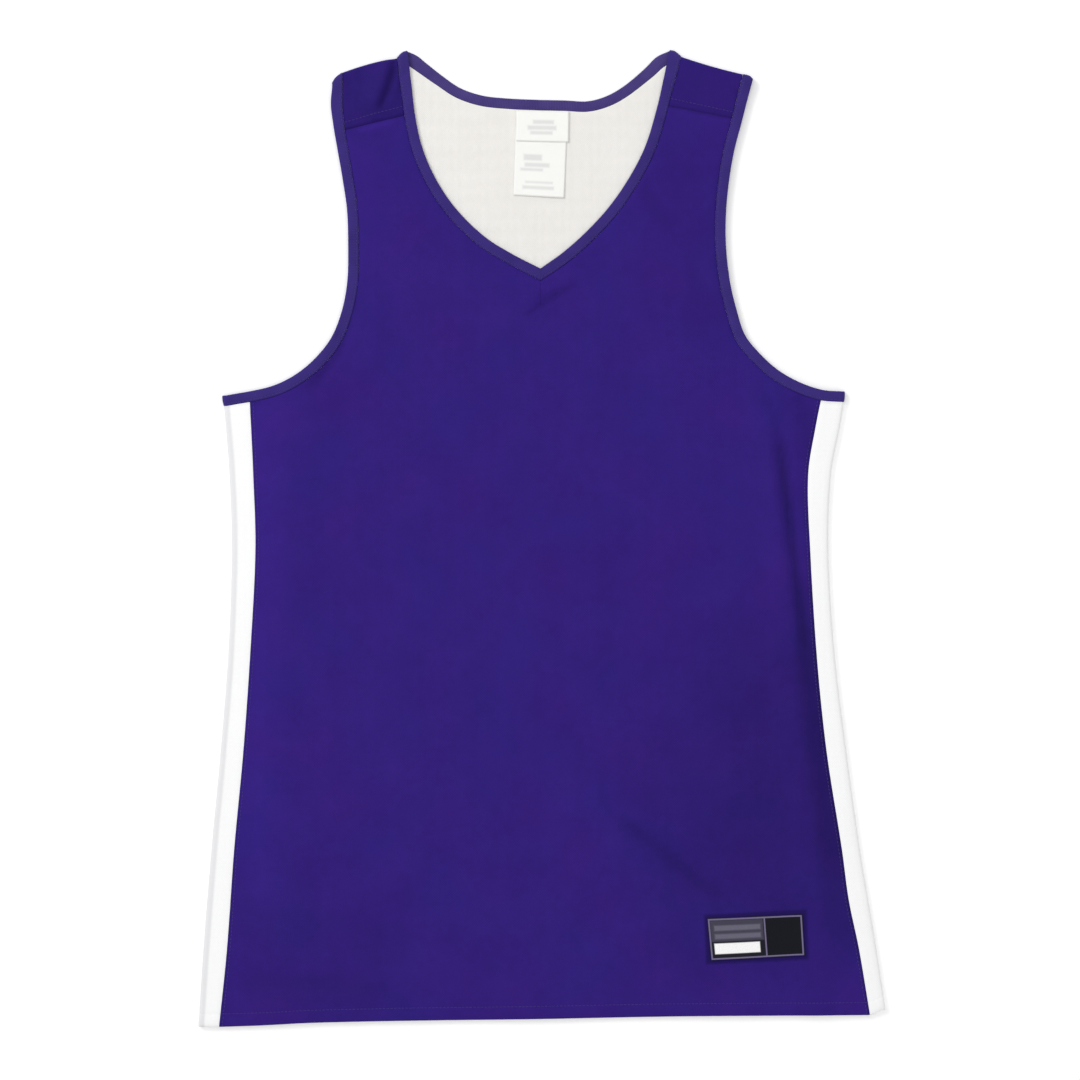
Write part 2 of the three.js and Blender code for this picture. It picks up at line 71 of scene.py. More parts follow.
def table(names, *rows):
    """A short table as one array for each named column."""
    return dict(zip(names.split(), np.array(rows, float).T))


hem = table(
    "x y",
    (-248.7, 0.0), (-217.1, 1.1), (-181.0, 3.0), (-137.8, 4.1), (-91.6, 4.9),
    (-7.7, 6.0), (75.5, 7.6), (128.6, 8.4), (198.7, 8.8), (254.0, 9.1),
)
right = dict(
    sign=-1, hem_edge_y=0.0, neck_fold=(-111.7, 746.2), arm_fold=(-154.0, 735.2),
    # The last value is painted shade laid over the whole yoke.
    fold_bow=1.2, yoke_neck=50.0, yoke_arm=39.5, yoke_shade=0.32,
    neck_front=table(
        "x y",
        (-1.2, 584.0), (-23.1, 595.2), (-43.9, 608.3), (-65.5, 629.1), (-80.9, 651.4),
        (-91.6, 675.3), (-97.4, 699.9), (-100.6, 726.0), (-104.0, 752.7),
    ),
    neck_back=table(
        "x y",
        (-1.2, 714.2), (-24.6, 715.2), (-46.2, 717.6), (-63.1, 723.4), (-76.2, 732.2),
        (-88.6, 742.0), (-96.8, 749.2), (-104.0, 752.7),
    ),
    armhole=table(
        "x y",
        (-246.4, 486.2), (-226.4, 489.2), (-205.6, 494.3), (-187.9, 503.6),
        (-173.6, 515.9), (-161.9, 531.3), (-153.9, 552.1), (-149.9, 574.0),
        (-149.2, 602.1), (-150.1, 629.1), (-153.4, 652.2), (-157.4, 675.3),
        (-160.8, 695.3), (-162.7, 711.5), (-162.0, 728.4),
    ),
    panel=table(
        "y seam edge",
        (0.0, -248.7, -264.9), (59.3, -242.6, -261.0), (136.3, -237.0, -254.8),
        (213.3, -229.8, -247.6), (290.3, -224.4, -241.6), (367.3, -220.6, -239.0),
        (425.0, -222.3, -240.6), (490.0, -225.4, -245.4),
    ),
)
left = dict(
    sign=1, hem_edge_y=13.1, neck_fold=(107.0, 747.6), arm_fold=(155.0, 733.9),
    # The last value is painted shade laid over the whole yoke.
    fold_bow=-0.8, yoke_neck=43.0, yoke_arm=35.0, yoke_shade=0.18,
    neck_front=table(
        "x y",
        (-1.2, 584.0), (16.2, 596.4), (33.9, 612.1), (51.6, 631.4), (67.0, 653.7),
        (79.3, 677.6), (88.5, 707.6), (93.6, 730.0), (98.6, 753.1),
    ),
    neck_back=table(
        "x y",
        (-1.2, 714.2), (17.7, 713.8), (35.4, 713.2), (50.1, 717.3), (63.1, 724.8),
        (79.3, 738.4), (88.9, 748.2), (98.6, 753.1),
    ),
    armhole=table(
        "x y",
        (233.3, 489.4), (216.2, 490.5), (198.7, 496.3), (181.7, 505.9), (167.2, 519.0),
        (156.3, 532.8), (149.4, 553.6), (144.7, 574.0), (141.6, 602.1), (141.7, 627.6),
        (144.1, 652.2), (148.1, 675.3), (153.6, 696.1), (158.1, 713.8), (162.9, 731.5),
    ),
    panel=table(
        "y seam edge",
        (8.0, 252.8, 265.6), (59.3, 244.2, 257.8), (97.8, 236.2, 251.4),
        (136.3, 231.0, 245.0), (213.3, 219.0, 234.4), (290.3, 211.2, 225.2),
        (367.3, 206.6, 220.6), (425.0, 205.2, 222.4), (463.5, 211.4, 229.3),
        (490.0, 217.0, 233.4),
    ),
)
long_corners = ((-22.2, 640.6), (17.2, 638.4), (20.0, 705.0), (-19.8, 705.8))
short_corners = ((-20.0, 682.3), (20.6, 681.4), (20.9, 705.1), (-20.0, 705.9))
patch_corners = ((130.1, 51.6), (202.1, 55.4), (200.2, 87.0), (127.0, 83.9))
low_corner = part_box("side_panel_right")[0]
shift = np.array([right["panel"]["edge"][0] - low_corner.x * 1000, -low_corner.y * 1000, 0.0])
print("pattern to frame, mm:", (-shift).round(2))

# %% [markdown]
# ## Lines through the tables
# A seam is a smooth line, drawn through a few marks on the cloth. A centripetal
# Catmull-Rom line passes through each mark without loops, and measuring along it lets
# two pieces that are sewn together share the same places on their seam.

# %% Smooth lines, and values read between rows
def mix(a, b, t):
    return a + (b - a) * t


def smooth(t):
    t = np.clip(t, 0, 1)
    return t * t * (3 - 2 * t)


def unit(v):
    return v / np.maximum(np.linalg.norm(v, axis=-1, keepdims=True), 1e-12)


def read(rows, key, column, at):
    """A value between the rows of a table, on a smooth line through them."""
    k, v = rows[key], rows[column]
    slope = np.array([
        (v[min(i + 1, len(k) - 1)] - v[max(i - 1, 0)])
        / (k[min(i + 1, len(k) - 1)] - k[max(i - 1, 0)]) for i in range(len(k))
    ])
    i = np.clip(np.searchsorted(k, at, side="right") - 1, 0, len(k) - 2)
    span = k[i + 1] - k[i]
    t = np.clip((at - k[i]) / span, 0, 1)
    bend = t * (1 - t) ** 2 * span * slope[i] + t * t * (t - 1) * span * slope[i + 1]
    return mix(v[i], v[i + 1], smooth(t)) + bend


class Line:
    """A smooth line through points, measured along its length."""

    def __init__(self, points, per=48):
        p = np.vstack([2 * points[0] - points[1], points, 2 * points[-1] - points[-2]])
        runs = []
        t = np.linspace(0, 1, per, endpoint=False)[:, None]
        for a, b, c, d in zip(p, p[1:], p[2:], p[3:]):
            k0, k1, k2 = (np.linalg.norm(v) ** 0.5 for v in (b - a, c - b, d - c))
            m1 = ((b - a) / k0 - (c - a) / (k0 + k1) + (c - b) / k1) * k1
            m2 = ((c - b) / k1 - (d - b) / (k1 + k2) + (d - c) / k2) * k1
            runs.append(b + m1 * t + (3 * (c - b) - 2 * m1 - m2) * t**2
                        + (2 * (b - c) + m1 + m2) * t**3)
        self.points = np.vstack([*runs, points[-1:]])
        steps = np.linalg.norm(np.diff(self.points, axis=0), axis=1)
        self.along = np.concatenate([[0], np.cumsum(steps)])
        self.total = self.along[-1]

    def at(self, distance):
        return np.stack([np.interp(distance, self.along, c) for c in self.points.T], -1)

    def way(self, distance):
        return unit(self.at(distance + 0.2) - self.at(distance - 0.2))


neck = Line(np.stack([right["neck_front"]["x"], right["neck_front"]["y"]], 1))
print(f"one side of the V is {neck.total:.0f} mm long")

# %% [markdown]
# ## Rungs: how a binding meets its panel
# A bound edge has three lines: the edge that the hand feels, the seam 8 mm inside it,
# and the panel's cut edge just beyond. Each rung holds one point of all three, so the
# binding and the panel keep the same small gap everywhere, round the folds too.

# %% Rungs along the neck and the armholes
side_rows, underarm_rows, center_front_rows, neck_front_rows = 96, 8, 26, 56
arm_rows, yoke_rows, neck_back_rows, fold_steps = 82, 14, 56, 12
center_back_rows = arm_rows + yoke_rows - neck_back_rows


def spread(*marks):
    """Distances from mark to mark, as (place, count) pairs after a start of 0."""
    out, last = [0.0], 0.0
    for place, count in marks:
        out.extend(np.linspace(last, place, count + 1)[1:])
        last = place
    return np.array(out)


def rungs(points, turn, tip, fold_seam, along, distances):
    line = Line(points)
    distance = distances(line.total)
    edge, ahead = line.at(distance), line.way(distance)
    straight = np.stack([-ahead[:, 1], ahead[:, 0]], 1) * turn
    turned = smooth(1 - (line.total - distance) / (2 * shoulder_blend))[:, None]
    fold_width = np.linalg.norm(fold_seam - tip)
    seam = edge + unit(mix(straight, unit(fold_seam - tip), turned)) * mix(
        binding_width, fold_width, turned)
    panel = seam + unit(mix(straight, along, turned)) * mix(seam_gap, fold_gap, turned)
    near = smooth(1 - (line.total - distance) / shoulder_blend)
    return dict(edge=edge, seam=seam, panel=panel, near=near, distance=distance)


def draw_back(rung, way, share):
    """Rungs that run into a fold stop short of it by the fold's reach."""
    for key in ("edge", "seam", "panel"):
        rung[key] = rung[key] - way * (fold_reach * share)[:, None]


def layout(side):
    """All seams of one side, shared by the pieces that meet there."""
    sign = side["sign"]
    neck_seam, arm_seam = np.array(side["neck_fold"]), np.array(side["arm_fold"])
    along = unit(arm_seam - neck_seam)
    outward = np.array([-along[1], along[0]]) * sign
    sideways = np.array([sign, 0.0])
    xy = {k: np.stack([side[k]["x"], side[k]["y"]], 1) for k in
          ("neck_front", "neck_back", "armhole")}
    tip = xy["neck_front"][-1]
    neck_front = rungs(xy["neck_front"], -sign, tip, neck_seam, along, lambda total: spread(
        (total - side["yoke_neck"], neck_front_rows), (total, yoke_rows)))
    neck_back = rungs(xy["neck_back"], -sign, tip, neck_seam, along, lambda total: spread(
        (total, neck_back_rows)))
    under = np.linalg.norm(xy["armhole"][1] - xy["armhole"][0])
    arm = rungs(
        xy["armhole"], sign, xy["armhole"][-1], arm_seam, -along, lambda total: spread(
            (under, underarm_rows), (total - side["yoke_arm"], arm_rows), (total, yoke_rows)))
    for rung, depth in ((neck_front, v_point_depth), (neck_back, binding_width)):
        rung["seam"][0] = rung["edge"][0] - (0, depth)
        rung["panel"][0] = rung["seam"][0] - (0, seam_gap * depth / binding_width)
    for rung in (neck_front, neck_back, arm):
        draw_back(rung, outward, rung["near"])
    draw_back(arm, sideways, smooth(1 - arm["distance"] / underarm_blend))
    to_tip = neck_back["distance"][-1] - neck_back["distance"]
    neck_back["edge"] += outward * (tip_rise * smooth(1 - to_tip / tip_blend))[:, None]
    corner = arm["panel"][underarm_rows]
    hem_y = read(hem, "x", "y", side["panel"]["seam"][:1])[0]
    share = np.concatenate([hem_shares, np.linspace(hem_shares[-1], 1, side_rows + 1)[1:]])
    seam_y = mix(hem_y, corner[1], share)
    seam = np.stack([read(side["panel"], "y", "seam", seam_y), seam_y], 1)
    seam[:, 0] += (corner[0] + sign * seam_gap / 2 - seam[-1, 0]) * share**6
    return dict(side=side, sign=sign, outward=outward, sideways=sideways, share=share,
                neck_front=neck_front, neck_back=neck_back, arm=arm, corner=corner, seam=seam)


hem_rows = np.array([0, 0.5, 1.4, 3.2, 5.2, 7.4, 8.8, 9.5, 10.0, 10.5, 11.3, 13.0])
hem_shares = hem_rows / armpit_y
halves = [layout(right), layout(left)]
print("rungs on each armhole:", len(halves[0]["arm"]["edge"]))

# %% [markdown]
# ## How the front lies
# A laid-out jersey is never quite flat: long soft ridges run down it, a crease crosses one
# shoulder, the point of the V puckers, and the cloth rolls off beside one seam. A cloth
# simulation would give folds, but not these ones, so they are listed: broad
# ridges first, as in the solids, then narrow troughs, uneven in depth, then a faint swell.
# A last table gives painted shade along folds and creases, and painted light on a few slopes and
# edges.

# %% Ridges, troughs and swell
ridges = table(
    "x0 y0 x1 y1 half height",
    (-119, 744, -131, 706, 8, 2.4),
    (-176, 480, -138, 508, 13, 1.8),
    (-138, 508, -133, 552, 13, 1.8),
    (-96, 566, -30, 540, 15, 1.4),
    (24, 576, -14, 553, 9, 1.2),
    (170, 458, 189, 335, 12, 2.6),
    (189, 335, 206, 150, 14, 2.4),
    (206, 150, 212, 20, 15, 1.8),
    (40, 165, 118, 112, 16, 1.6),
    (120, 300, 150, 60, 42, 1.8),
    (-192, 450, -206, 70, 22, 1.6),
    (-40, 470, -90, 120, 46, 1.0),
    (-200, 22, -120, 30, 13, 1.4),
)
troughs = table(
    "x0 y0 xm ym x1 y1 half depth",
    (-113, 747, -116, 722, -126, 707, 2.5, 2.6),
    (-123, 711, -132, 702, -141, 710, 2.4, 0.8),
    (170, 494, 176, 478, 184, 450, 3.5, 0.9),
    (181, 466, 190, 398, 204, 268, 3.8, 2.6),
    (195, 344, 212, 205, 232, 30, 8.0, 1.6),
    (-181, 492, -154, 512, -146, 562, 4.0, 1.8),
    (26, 572, 12, 563, -13, 549, 2.2, 1.4),
    (-10, 569, -2, 562, 8, 562, 1.9, 0.9),
    (2, 574, 10, 568, 14, 560, 1.8, 0.9),
    (-98, 575, -60, 548, -20, 552, 6.0, 0.5),
    (50, 164, 86, 145, 130, 104, 4.0, 1.6),
    (-222, 33, -170, 36, -118, 27, 5.0, 1.2),
    (-150, 688, -130, 682, -108, 690, 4.0, 0.5),
    (102, 712, 128, 705, 152, 701, 3.2, 0.6),
    (112, 604, 124, 570, 122, 520, 7.0, 0.5),
    (-60, 330, -40, 240, -52, 150, 9.0, 0.35),
    (30, 420, 60, 330, 50, 260, 10.0, 0.35),
)
# Painted shade and light: a soft line from x0 y0 to x1 y1, half its width, and dark, how much
# darker it is (paler below 0).
painted_shades = table(
    "x0 y0 x1 y1 half dark",
    (183, 446, 202, 300, 5, 0.26),
    (206, 290, 226, 140, 12, 0.16),
    (216, 330, 245, 70, 18, 0.27),
    (166, 262, 186, 92, 50, 0.26),
    (92, 196, 132, 104, 40, 0.12),
    (98, 96, 112, 50, 24, 0.10),
    (66, 153, 130, 104, 8, 0.12),
    (-114, 736, -125, 710, 4, 0.12),
    (106, 710, 148, 702, 3, 0.08),
    (-140, 691, -118, 697, 2, -0.28),
    (199, 482, 206, 444, 9, 0.20),
    (78, 648, 92, 624, 6, 0.12),
    (-214, 470, -218, 110, 18, -0.16),
    (-236, 92, -120, 62, 26, 0.08),
    (-216, 30, -135, 26, 14, 0.14),
    (18, 570, -10, 551, 3, 0.12),
    (-179, 495, -147, 556, 7, 0.20),
    (-140, 650, -118, 585, 26, -0.06),
    (104, 672, 124, 560, 28, 0.07),
)
# Painted shade in creases, beside the side seams and on the back's lower layer.
ridge_blend, crease_shade, seam_shade, seam_shade_reach, back_shade_share = 3, 0.10, 0.30, 1.8, 0.7
lowest_lift, softening = 0.45, 4


def rows_of(columns):
    return [dict(zip(columns, row)) for row in zip(*columns.values())]


def beside(x, y, r):
    """1 on a short straight line, fading softly to both of its sides."""
    ax, ay = r["x1"] - r["x0"], r["y1"] - r["y0"]
    t = np.clip(((x - r["x0"]) * ax + (y - r["y0"]) * ay) / (ax * ax + ay * ay), 0, 1)
    d2 = (x - r["x0"] - ax * t) ** 2 + (y - r["y0"] - ay * t) ** 2
    return np.exp(-d2 / r["half"] ** 2)


def lift(x, y):
    """The broad ridges, which the solids have too."""
    total = np.zeros_like(x)
    for r in rows_of(ridges):
        total += (r["height"] * beside(x, y, r)) ** ridge_blend
    return total ** (1 / ridge_blend)


def swell(x, y, seed, height, length):
    """A faint uneven swell of the cloth, from a dozen long waves."""
    rng = np.random.default_rng(seed)
    total = np.zeros_like(x)
    for _ in range(12):
        angle, phase = rng.uniform(0, math.pi), rng.uniform(0, 2 * math.pi)
        wave = 2 * math.pi / (length * rng.uniform(0.6, 1.7))
        total += np.sin((x * math.cos(angle) + y * math.sin(angle)) * wave + phase)
    return height * total / 6


def trough(x, y, r):
    """One crease: a bent line that is deepest in its middle, with soft shoulders."""
    t = np.linspace(0, 1, 25)[:, None]
    a, b, c = (np.array([r["x" + k], r["y" + k]]) for k in "0m1")
    line = a * (1 - t) ** 2 + 2 * b * t * (1 - t) + c * t**2
    reach = 6 * r["half"]
    box = (x > line[:, 0].min() - reach) & (x < line[:, 0].max() + reach) & (
        y > line[:, 1].min() - reach) & (y < line[:, 1].max() + reach)
    out = np.zeros_like(x)
    p = np.stack([x[box], y[box]], -1)[:, None]
    start, step = line[:-1], np.diff(line, axis=0)
    u = np.clip(((p - start) * step).sum(-1) / (step**2).sum(-1), 0, 1)
    d = np.linalg.norm(p - start - step * u[..., None], axis=-1)
    k = d.argmin(1)
    d, where = d.min(1), (k + u[np.arange(len(k)), k]) / len(step)
    depth = r["depth"] * np.sin(math.pi * np.clip(where, 0.02, 0.98)) ** 0.8
    depth = depth * (1 + 0.25 * np.sin(9 * where + r["x0"]))
    out[box] = depth * (0.3 * np.exp(-(((d - 2.2 * r["half"]) / r["half"]) ** 2))
                        - np.exp(-((d / r["half"]) ** 2)))
    return out


def creased(x, y):
    """All creases together: below 0 in a hollow, a little above it on the shoulders."""
    total = np.zeros_like(x)
    for r in rows_of(troughs):
        total += trough(x, y, r)
    return total


def front_form(x, y):
    """Height of the front's cloth above its lowest level."""
    total = lift(x, y) + lowest_lift + swell(x, y, 3, 0.28, 110) + swell(x, y, 5, 0.1, 42)
    return np.logaddexp(0, (total + creased(x, y)) * softening) / softening


def painted_shade(x, y):
    """Painted shade in every crease and along each line of the table, and painted light where a
    value is below 0.
    """
    total = crease_shade * np.clip(-creased(x, y), 0, 2)
    for r in rows_of(painted_shades):
        total += r["dark"] * beside(x, y, r)
    return total


height = front_form(*np.meshgrid(np.arange(-240, 240, 8.0), np.arange(10, 570, 8.0)))
print("front lies", height.min().round(2), "to", height.max().round(2), "mm up")

# %% [markdown]
# ## From a pattern to a closed cloth
# Knit has a thickness, so each cloth is drawn as a grid of points in its middle and then
# given two faces and a rim. A Solidify modifier could do that, but here the wall also
# thins at every seam and fills out at the hem, so each point carries its own thickness,
# and its own painted shade or light.

# %% The cloth builder
class Cloth:
    """Grids of points in millimetres, welded, with a wall of its own thickness at each point."""

    def __init__(self):
        self.points, self.thick, self.painted_shades = [], [], []
        self.quads, self.uv, self.count = [], [], 0

    def grid(self, points, thick, uv=None, closed=False, painted_shades=None):
        rows, columns = thick.shape
        ids = self.count + np.arange(rows * columns).reshape(rows, columns)
        here, there = (ids, np.roll(ids, -1, 0)) if closed else (ids[:-1], ids[1:])
        quads = [here[:, :-1], here[:, 1:], there[:, 1:], there[:, :-1]]
        uv = points[..., :2] if uv is None else uv
        corners = [uv[:-1, :-1], uv[:-1, 1:], uv[1:, 1:], uv[1:, :-1]]
        self.quads.append(np.stack(quads, -1).reshape(-1, 4))
        self.uv.append(np.stack(corners, -2).reshape(-1, 4, 2))
        self.points.append(points.reshape(-1, 3))
        self.thick.append(thick.reshape(-1))
        self.painted_shades.append(np.zeros(rows * columns) if painted_shades is None else painted_shades.reshape(-1))
        self.count += rows * columns

    def build(self, name, node, slot, finish):
        points, thick = np.vstack(self.points), np.concatenate(self.thick)
        quads, uv = np.vstack(self.quads), np.vstack(self.uv)
        _, first, index = np.unique(points.round(3), axis=0, return_index=True,
                                    return_inverse=True)
        quads, points, thick = index.reshape(-1)[quads], points[first], thick[first]
        count = len(points)
        face = unit(np.cross(points[quads[:, 2]] - points[quads[:, 0]],
                             points[quads[:, 3]] - points[quads[:, 1]]))
        normal = np.zeros_like(points)
        for k in range(4):
            np.add.at(normal, quads[:, k], face)
        half = unit(normal) * thick[:, None] / 2
        start = np.concatenate([quads[:, k] for k in range(4)])
        end = np.concatenate([quads[:, (k + 1) % 4] for k in range(4)])
        start_uv = np.concatenate([uv[:, k] for k in range(4)])
        end_uv = np.concatenate([uv[:, (k + 1) % 4] for k in range(4)])
        rim = ~np.isin(start * count + end, end * count + start)
        a, b = start[rim], end[rim]
        faces = np.vstack([quads, quads[:, ::-1] + count,
                           np.stack([a, a + count, b + count, b], 1)])
        edge_uv = np.stack([start_uv[rim], start_uv[rim], end_uv[rim], end_uv[rim]], 1)
        corners = np.vstack([uv, uv[:, ::-1], edge_uv]) / 1000
        place = (np.vstack([points + half, points - half]) - shift) / 1000
        painted_shades = np.tile(np.concatenate(self.painted_shades)[first], 2)
        return make_piece(name, place, faces, corners, node, finish, painted_shades)


def make_piece(name, place, faces, corners, node, finish, painted_shades=None):
    mesh = bpy.data.meshes.new(name)
    mesh.vertices.add(len(place))
    mesh.vertices.foreach_set("co", place.astype(np.float32).ravel())
    sides = faces.shape[1]
    mesh.loops.add(faces.size)
    mesh.loops.foreach_set("vertex_index", faces.astype(np.int32).ravel())
    mesh.polygons.add(len(faces))
    mesh.polygons.foreach_set("loop_start", np.arange(0, faces.size, sides, dtype=np.int32))
    mesh.polygons.foreach_set("use_smooth", np.ones(len(faces), bool))
    if corners is not None:
        mesh.uv_layers.new(name="cut").data.foreach_set(
            "uv", corners.astype(np.float32).ravel())
    if painted_shades is not None and painted_shades.any():
        mesh.attributes.new("painted_shade", "FLOAT", "POINT").data.foreach_set(
            "value", painted_shades.astype(np.float32))
    mesh.update(calc_edges=True)
    piece = bpy.data.objects.new(name, mesh)
    bpy.context.scene.collection.objects.link(piece)
    mesh.materials.append(finish)
    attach(piece, "root")
    if node:
        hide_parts(node)
    print(f"{name}: {len(faces)} faces")
    return piece


# %% [markdown]
# ## Finishes
# Sports knit is a dull cloth with a faint sheen: rows of tiny loops, pin holes that let
# air through, and dye that is never quite even. All of it is worked out from the place on
# the cloth, so no picture is needed. Sums on sockets are written as plain Python sums,
# and anything else, such as a noise or a bump, is one call that names its node.

# %% A small language for shaders
class Maths:
    """A socket that can be used in sums."""

    def __init__(self, finish, socket):
        self.finish, self.socket = finish, socket

    def do(self, operation, *values):
        return self.finish.node("Math", {"operation": operation}, self, *values)

    def __add__(self, other):
        return self.do("ADD", other)

    def __sub__(self, other):
        return self.do("SUBTRACT", other)

    def __mul__(self, other):
        return self.do("MULTIPLY", other)

    __radd__, __rmul__ = __add__, __mul__


def color(r, g, b):
    """A screen colour of 0 to 255 as the light that a shader works in."""
    def light(v):
        v /= 255
        return v / 12.92 if v <= 0.04045 else ((v + 0.055) / 1.055) ** 2.4
    return (light(r), light(g), light(b), 1.0)


class Finish:
    """One material, with its constants set and what varies over the cloth linked."""

    def __init__(self, name, **constants):
        self.material = bpy.data.materials.new(name)
        self.material.use_nodes = True
        self.nodes = self.material.node_tree.nodes
        self.surface = self.nodes["Principled BSDF"]
        for socket, value in constants.items():
            self.surface.inputs[socket.replace("_", " ")].default_value = value
        where = self.nodes.new("ShaderNodeTexCoord")
        self.place, self.uv = (Maths(self, where.outputs[k]) for k in ("Object", "UV"))

    def node(self, kind, settings=(), *values, out=0, **named):
        made = self.nodes.new("ShaderNode" + kind)
        for key, value in dict(settings).items():
            setattr(made, key, value)
        inputs = list(enumerate(values)) + [(k.replace("_", " "), v) for k, v in named.items()]
        for key, value in inputs:
            if isinstance(value, Maths):
                self.material.node_tree.links.new(value.socket, made.inputs[key])
            elif value is not None:
                made.inputs[key].default_value = value
        return Maths(self, made.outputs[out])

    def axes(self, place):
        """Two coordinates in millimetres."""
        parts = [self.node("SeparateXYZ", {}, place, out=k) for k in (0, 1)]
        return [part * 1000 for part in parts]

    def ramp(self, value, start, end, low, high, soft=False):
        """A value that goes from low to high while another goes from start to end."""
        kind = {"interpolation_type": "SMOOTHSTEP"} if soft else {}
        return self.node("MapRange", kind, value, start, end, low, high)

    def height(self):
        """How far up a point lies, in millimetres."""
        return self.node("SeparateXYZ", {}, self.place, out=2) * 1000

    def blend(self, factor, a, b):
        return self.node("Mix", {"data_type": "RGBA"}, factor,
                         None, None, None, None, None, a, b, out=2)

    def noise(self, size_mm, detail=2.0, place=None):
        return self.node("TexNoise", {}, place or self.place,
                         Scale=1000 / size_mm, Detail=detail, Roughness=0.55)

    def feed(self, socket, value):
        self.material.node_tree.links.new(value.socket, self.surface.inputs[socket])

    def bump(self, height, depth_mm):
        self.feed("Normal", self.node("Bump", {}, Strength=1.0, Distance=depth_mm / 1000,
                                      Height=height))


# %% [markdown]
# ## Body knit
# The body is a fine eyelet knit. Upright rows of loops give it a faint grain, and pin
# holes in staggered rows break the surface. The dye is a deep violet blue that is a
# little redder and darker in the hollows of the knit.

# %% Eyelet knit for body, sides and lining
def inside(finish, x, y, box, soft=0.15):
    """1 inside a box in millimetres, 0 outside, with a soft edge."""
    x0, y0, x1, y1 = box
    dx = (x - (x0 + x1) / 2).do("ABSOLUTE") - (x1 - x0) / 2
    dy = (y - (y0 + y1) / 2).do("ABSOLUTE") - (y1 - y0) / 2
    far = dx.do("MAXIMUM", dy)
    return finish.ramp(far, -soft, soft, 1.0, 0.0, soft=True)


wale_mm, course_mm = 0.9, 0.75


def eyelet_knit(name, yarn, hollow, hole_mm, depth, patchy, base=0.2, tint=None,
                painted_shading_of=None, **constants):
    """Knit whose colour runs from its yarn to the darker hollows between the loops, further
    towards them with painted shade and back with painted light.
    """
    finish = Finish(name, **constants)
    x, y = finish.axes(finish.place)
    wale = (x * (2 * math.pi / wale_mm)).do("SINE")
    course = ((y + wale * 0.12) * (2 * math.pi / course_mm)).do("SINE")
    a = ((x + y) * (math.pi / hole_mm)).do("COSINE")
    b = ((x - y) * (math.pi / hole_mm)).do("COSINE")
    eyelet = (a * b).do("ABSOLUTE").do("SMOOTH_MIN", 0.94, 0.1)
    eyelet = eyelet.do("POWER", 5.0)
    loops = wale * 0.3 + course * 0.3 + eyelet * -1.2
    blotch = finish.noise(38, 3.0)
    grain = finish.noise(7, 2.0)
    fuzz = finish.noise(1.3, 1.0)
    shade = (eyelet * 0.4 + (blotch - 0.5) * patchy + (grain - 0.5) * (patchy * 0.8)
             + (fuzz - 0.5) * 0.14 + base)
    # Painted shade and light given by the finish darken or lighten the colour.
    if painted_shading_of:
        shade = shade + painted_shading_of(finish)
    if tint:
        drift = finish.ramp(finish.noise(64, 1.0), 0.32, 0.68, 0.0, 1.0)
        yarn = finish.blend(drift, yarn, tint)
    finish.feed("Base Color", finish.blend(shade, yarn, hollow))
    finish.feed("Roughness", blotch * 0.12 + 0.7)
    finish.bump(loops + fuzz * 0.5, depth)
    return finish.material


# How far the painted shadow round the patch reaches beyond its edge, in millimetres.
patch_shadow_reach = 2.6


def body_painted_shade(finish):
    """Painted shade and light from the cloth's own values, and a painted shadow close around the
    raised patch.
    """
    a, b, c, d = (np.array([*corner, 0.0]) - shift for corner in patch_corners)
    middle, across, up = (a + b + c + d) / 4, (b - a + c - d) / 2, (d - a + c - b) / 2
    turn = math.atan2(across[1], across[0])
    place = finish.node("Mapping", {"vector_type": "TEXTURE"}, finish.place,
                        tuple(middle / 1000), (0.0, 0.0, turn))
    x, y = finish.axes(place)
    half_width, half_height = (np.linalg.norm(v) / 2 + patch_shadow_reach for v in (across, up))
    box = (-half_width, -half_height, half_width, half_height)
    painted_shade_here = finish.node("Attribute", {"attribute_name": "painted_shade"}, out=2)
    on_front = finish.ramp(finish.height(), 2.0, 2.6, 0.0, 0.8)
    return inside(finish, x, y, box, 2.0) * on_front + painted_shade_here


def fold_painted_shade(finish):
    """Painted shade along the fold of each strip: strong on the strip nearer the key lamp, weak
    on the other, which the lamp leaves in shade already.
    """
    far = finish.axes(finish.uv)[0].do("ABSOLUTE")
    near = finish.ramp(far, 3.0, 6.4, 1.0, 0.0, soft=True)
    return near * finish.ramp(finish.axes(finish.place)[0], -50.0, 50.0, 1.1, 0.15)


body_knit = eyelet_knit(
    "body_knit", color(49, 27, 131), color(27, 7, 86), 1.9, 0.10, 0.28, 0.29,
    tint=color(55, 24, 130), painted_shading_of=body_painted_shade,
    Specular_IOR_Level=0.15, Sheen_Weight=0.02, Sheen_Roughness=0.45)
side_knit = eyelet_knit(
    "side_knit", color(254, 254, 254), color(228, 228, 230), 1.9, 0.06, 0.08,
    painted_shading_of=fold_painted_shade, Specular_IOR_Level=0.3, Sheen_Weight=0.05)
lining_knit = eyelet_knit(
    "lining_knit", color(241, 239, 235), color(216, 212, 206), 1.6, 0.10, 0.25,
    Specular_IOR_Level=0.3, Sheen_Weight=0.05)

# %% [markdown]
# ## Binding, labels, thread and patch
# The binding is the same yarn knitted tighter, so it has ribs across it and looks paler
# where it catches light. Its ribs follow its own length, so they read the piece's own map.
# Labels are printed satin: what is printed on them is only pale grey bars. The patch is
# a woven tape with a pale rim, two cells and an empty bar.

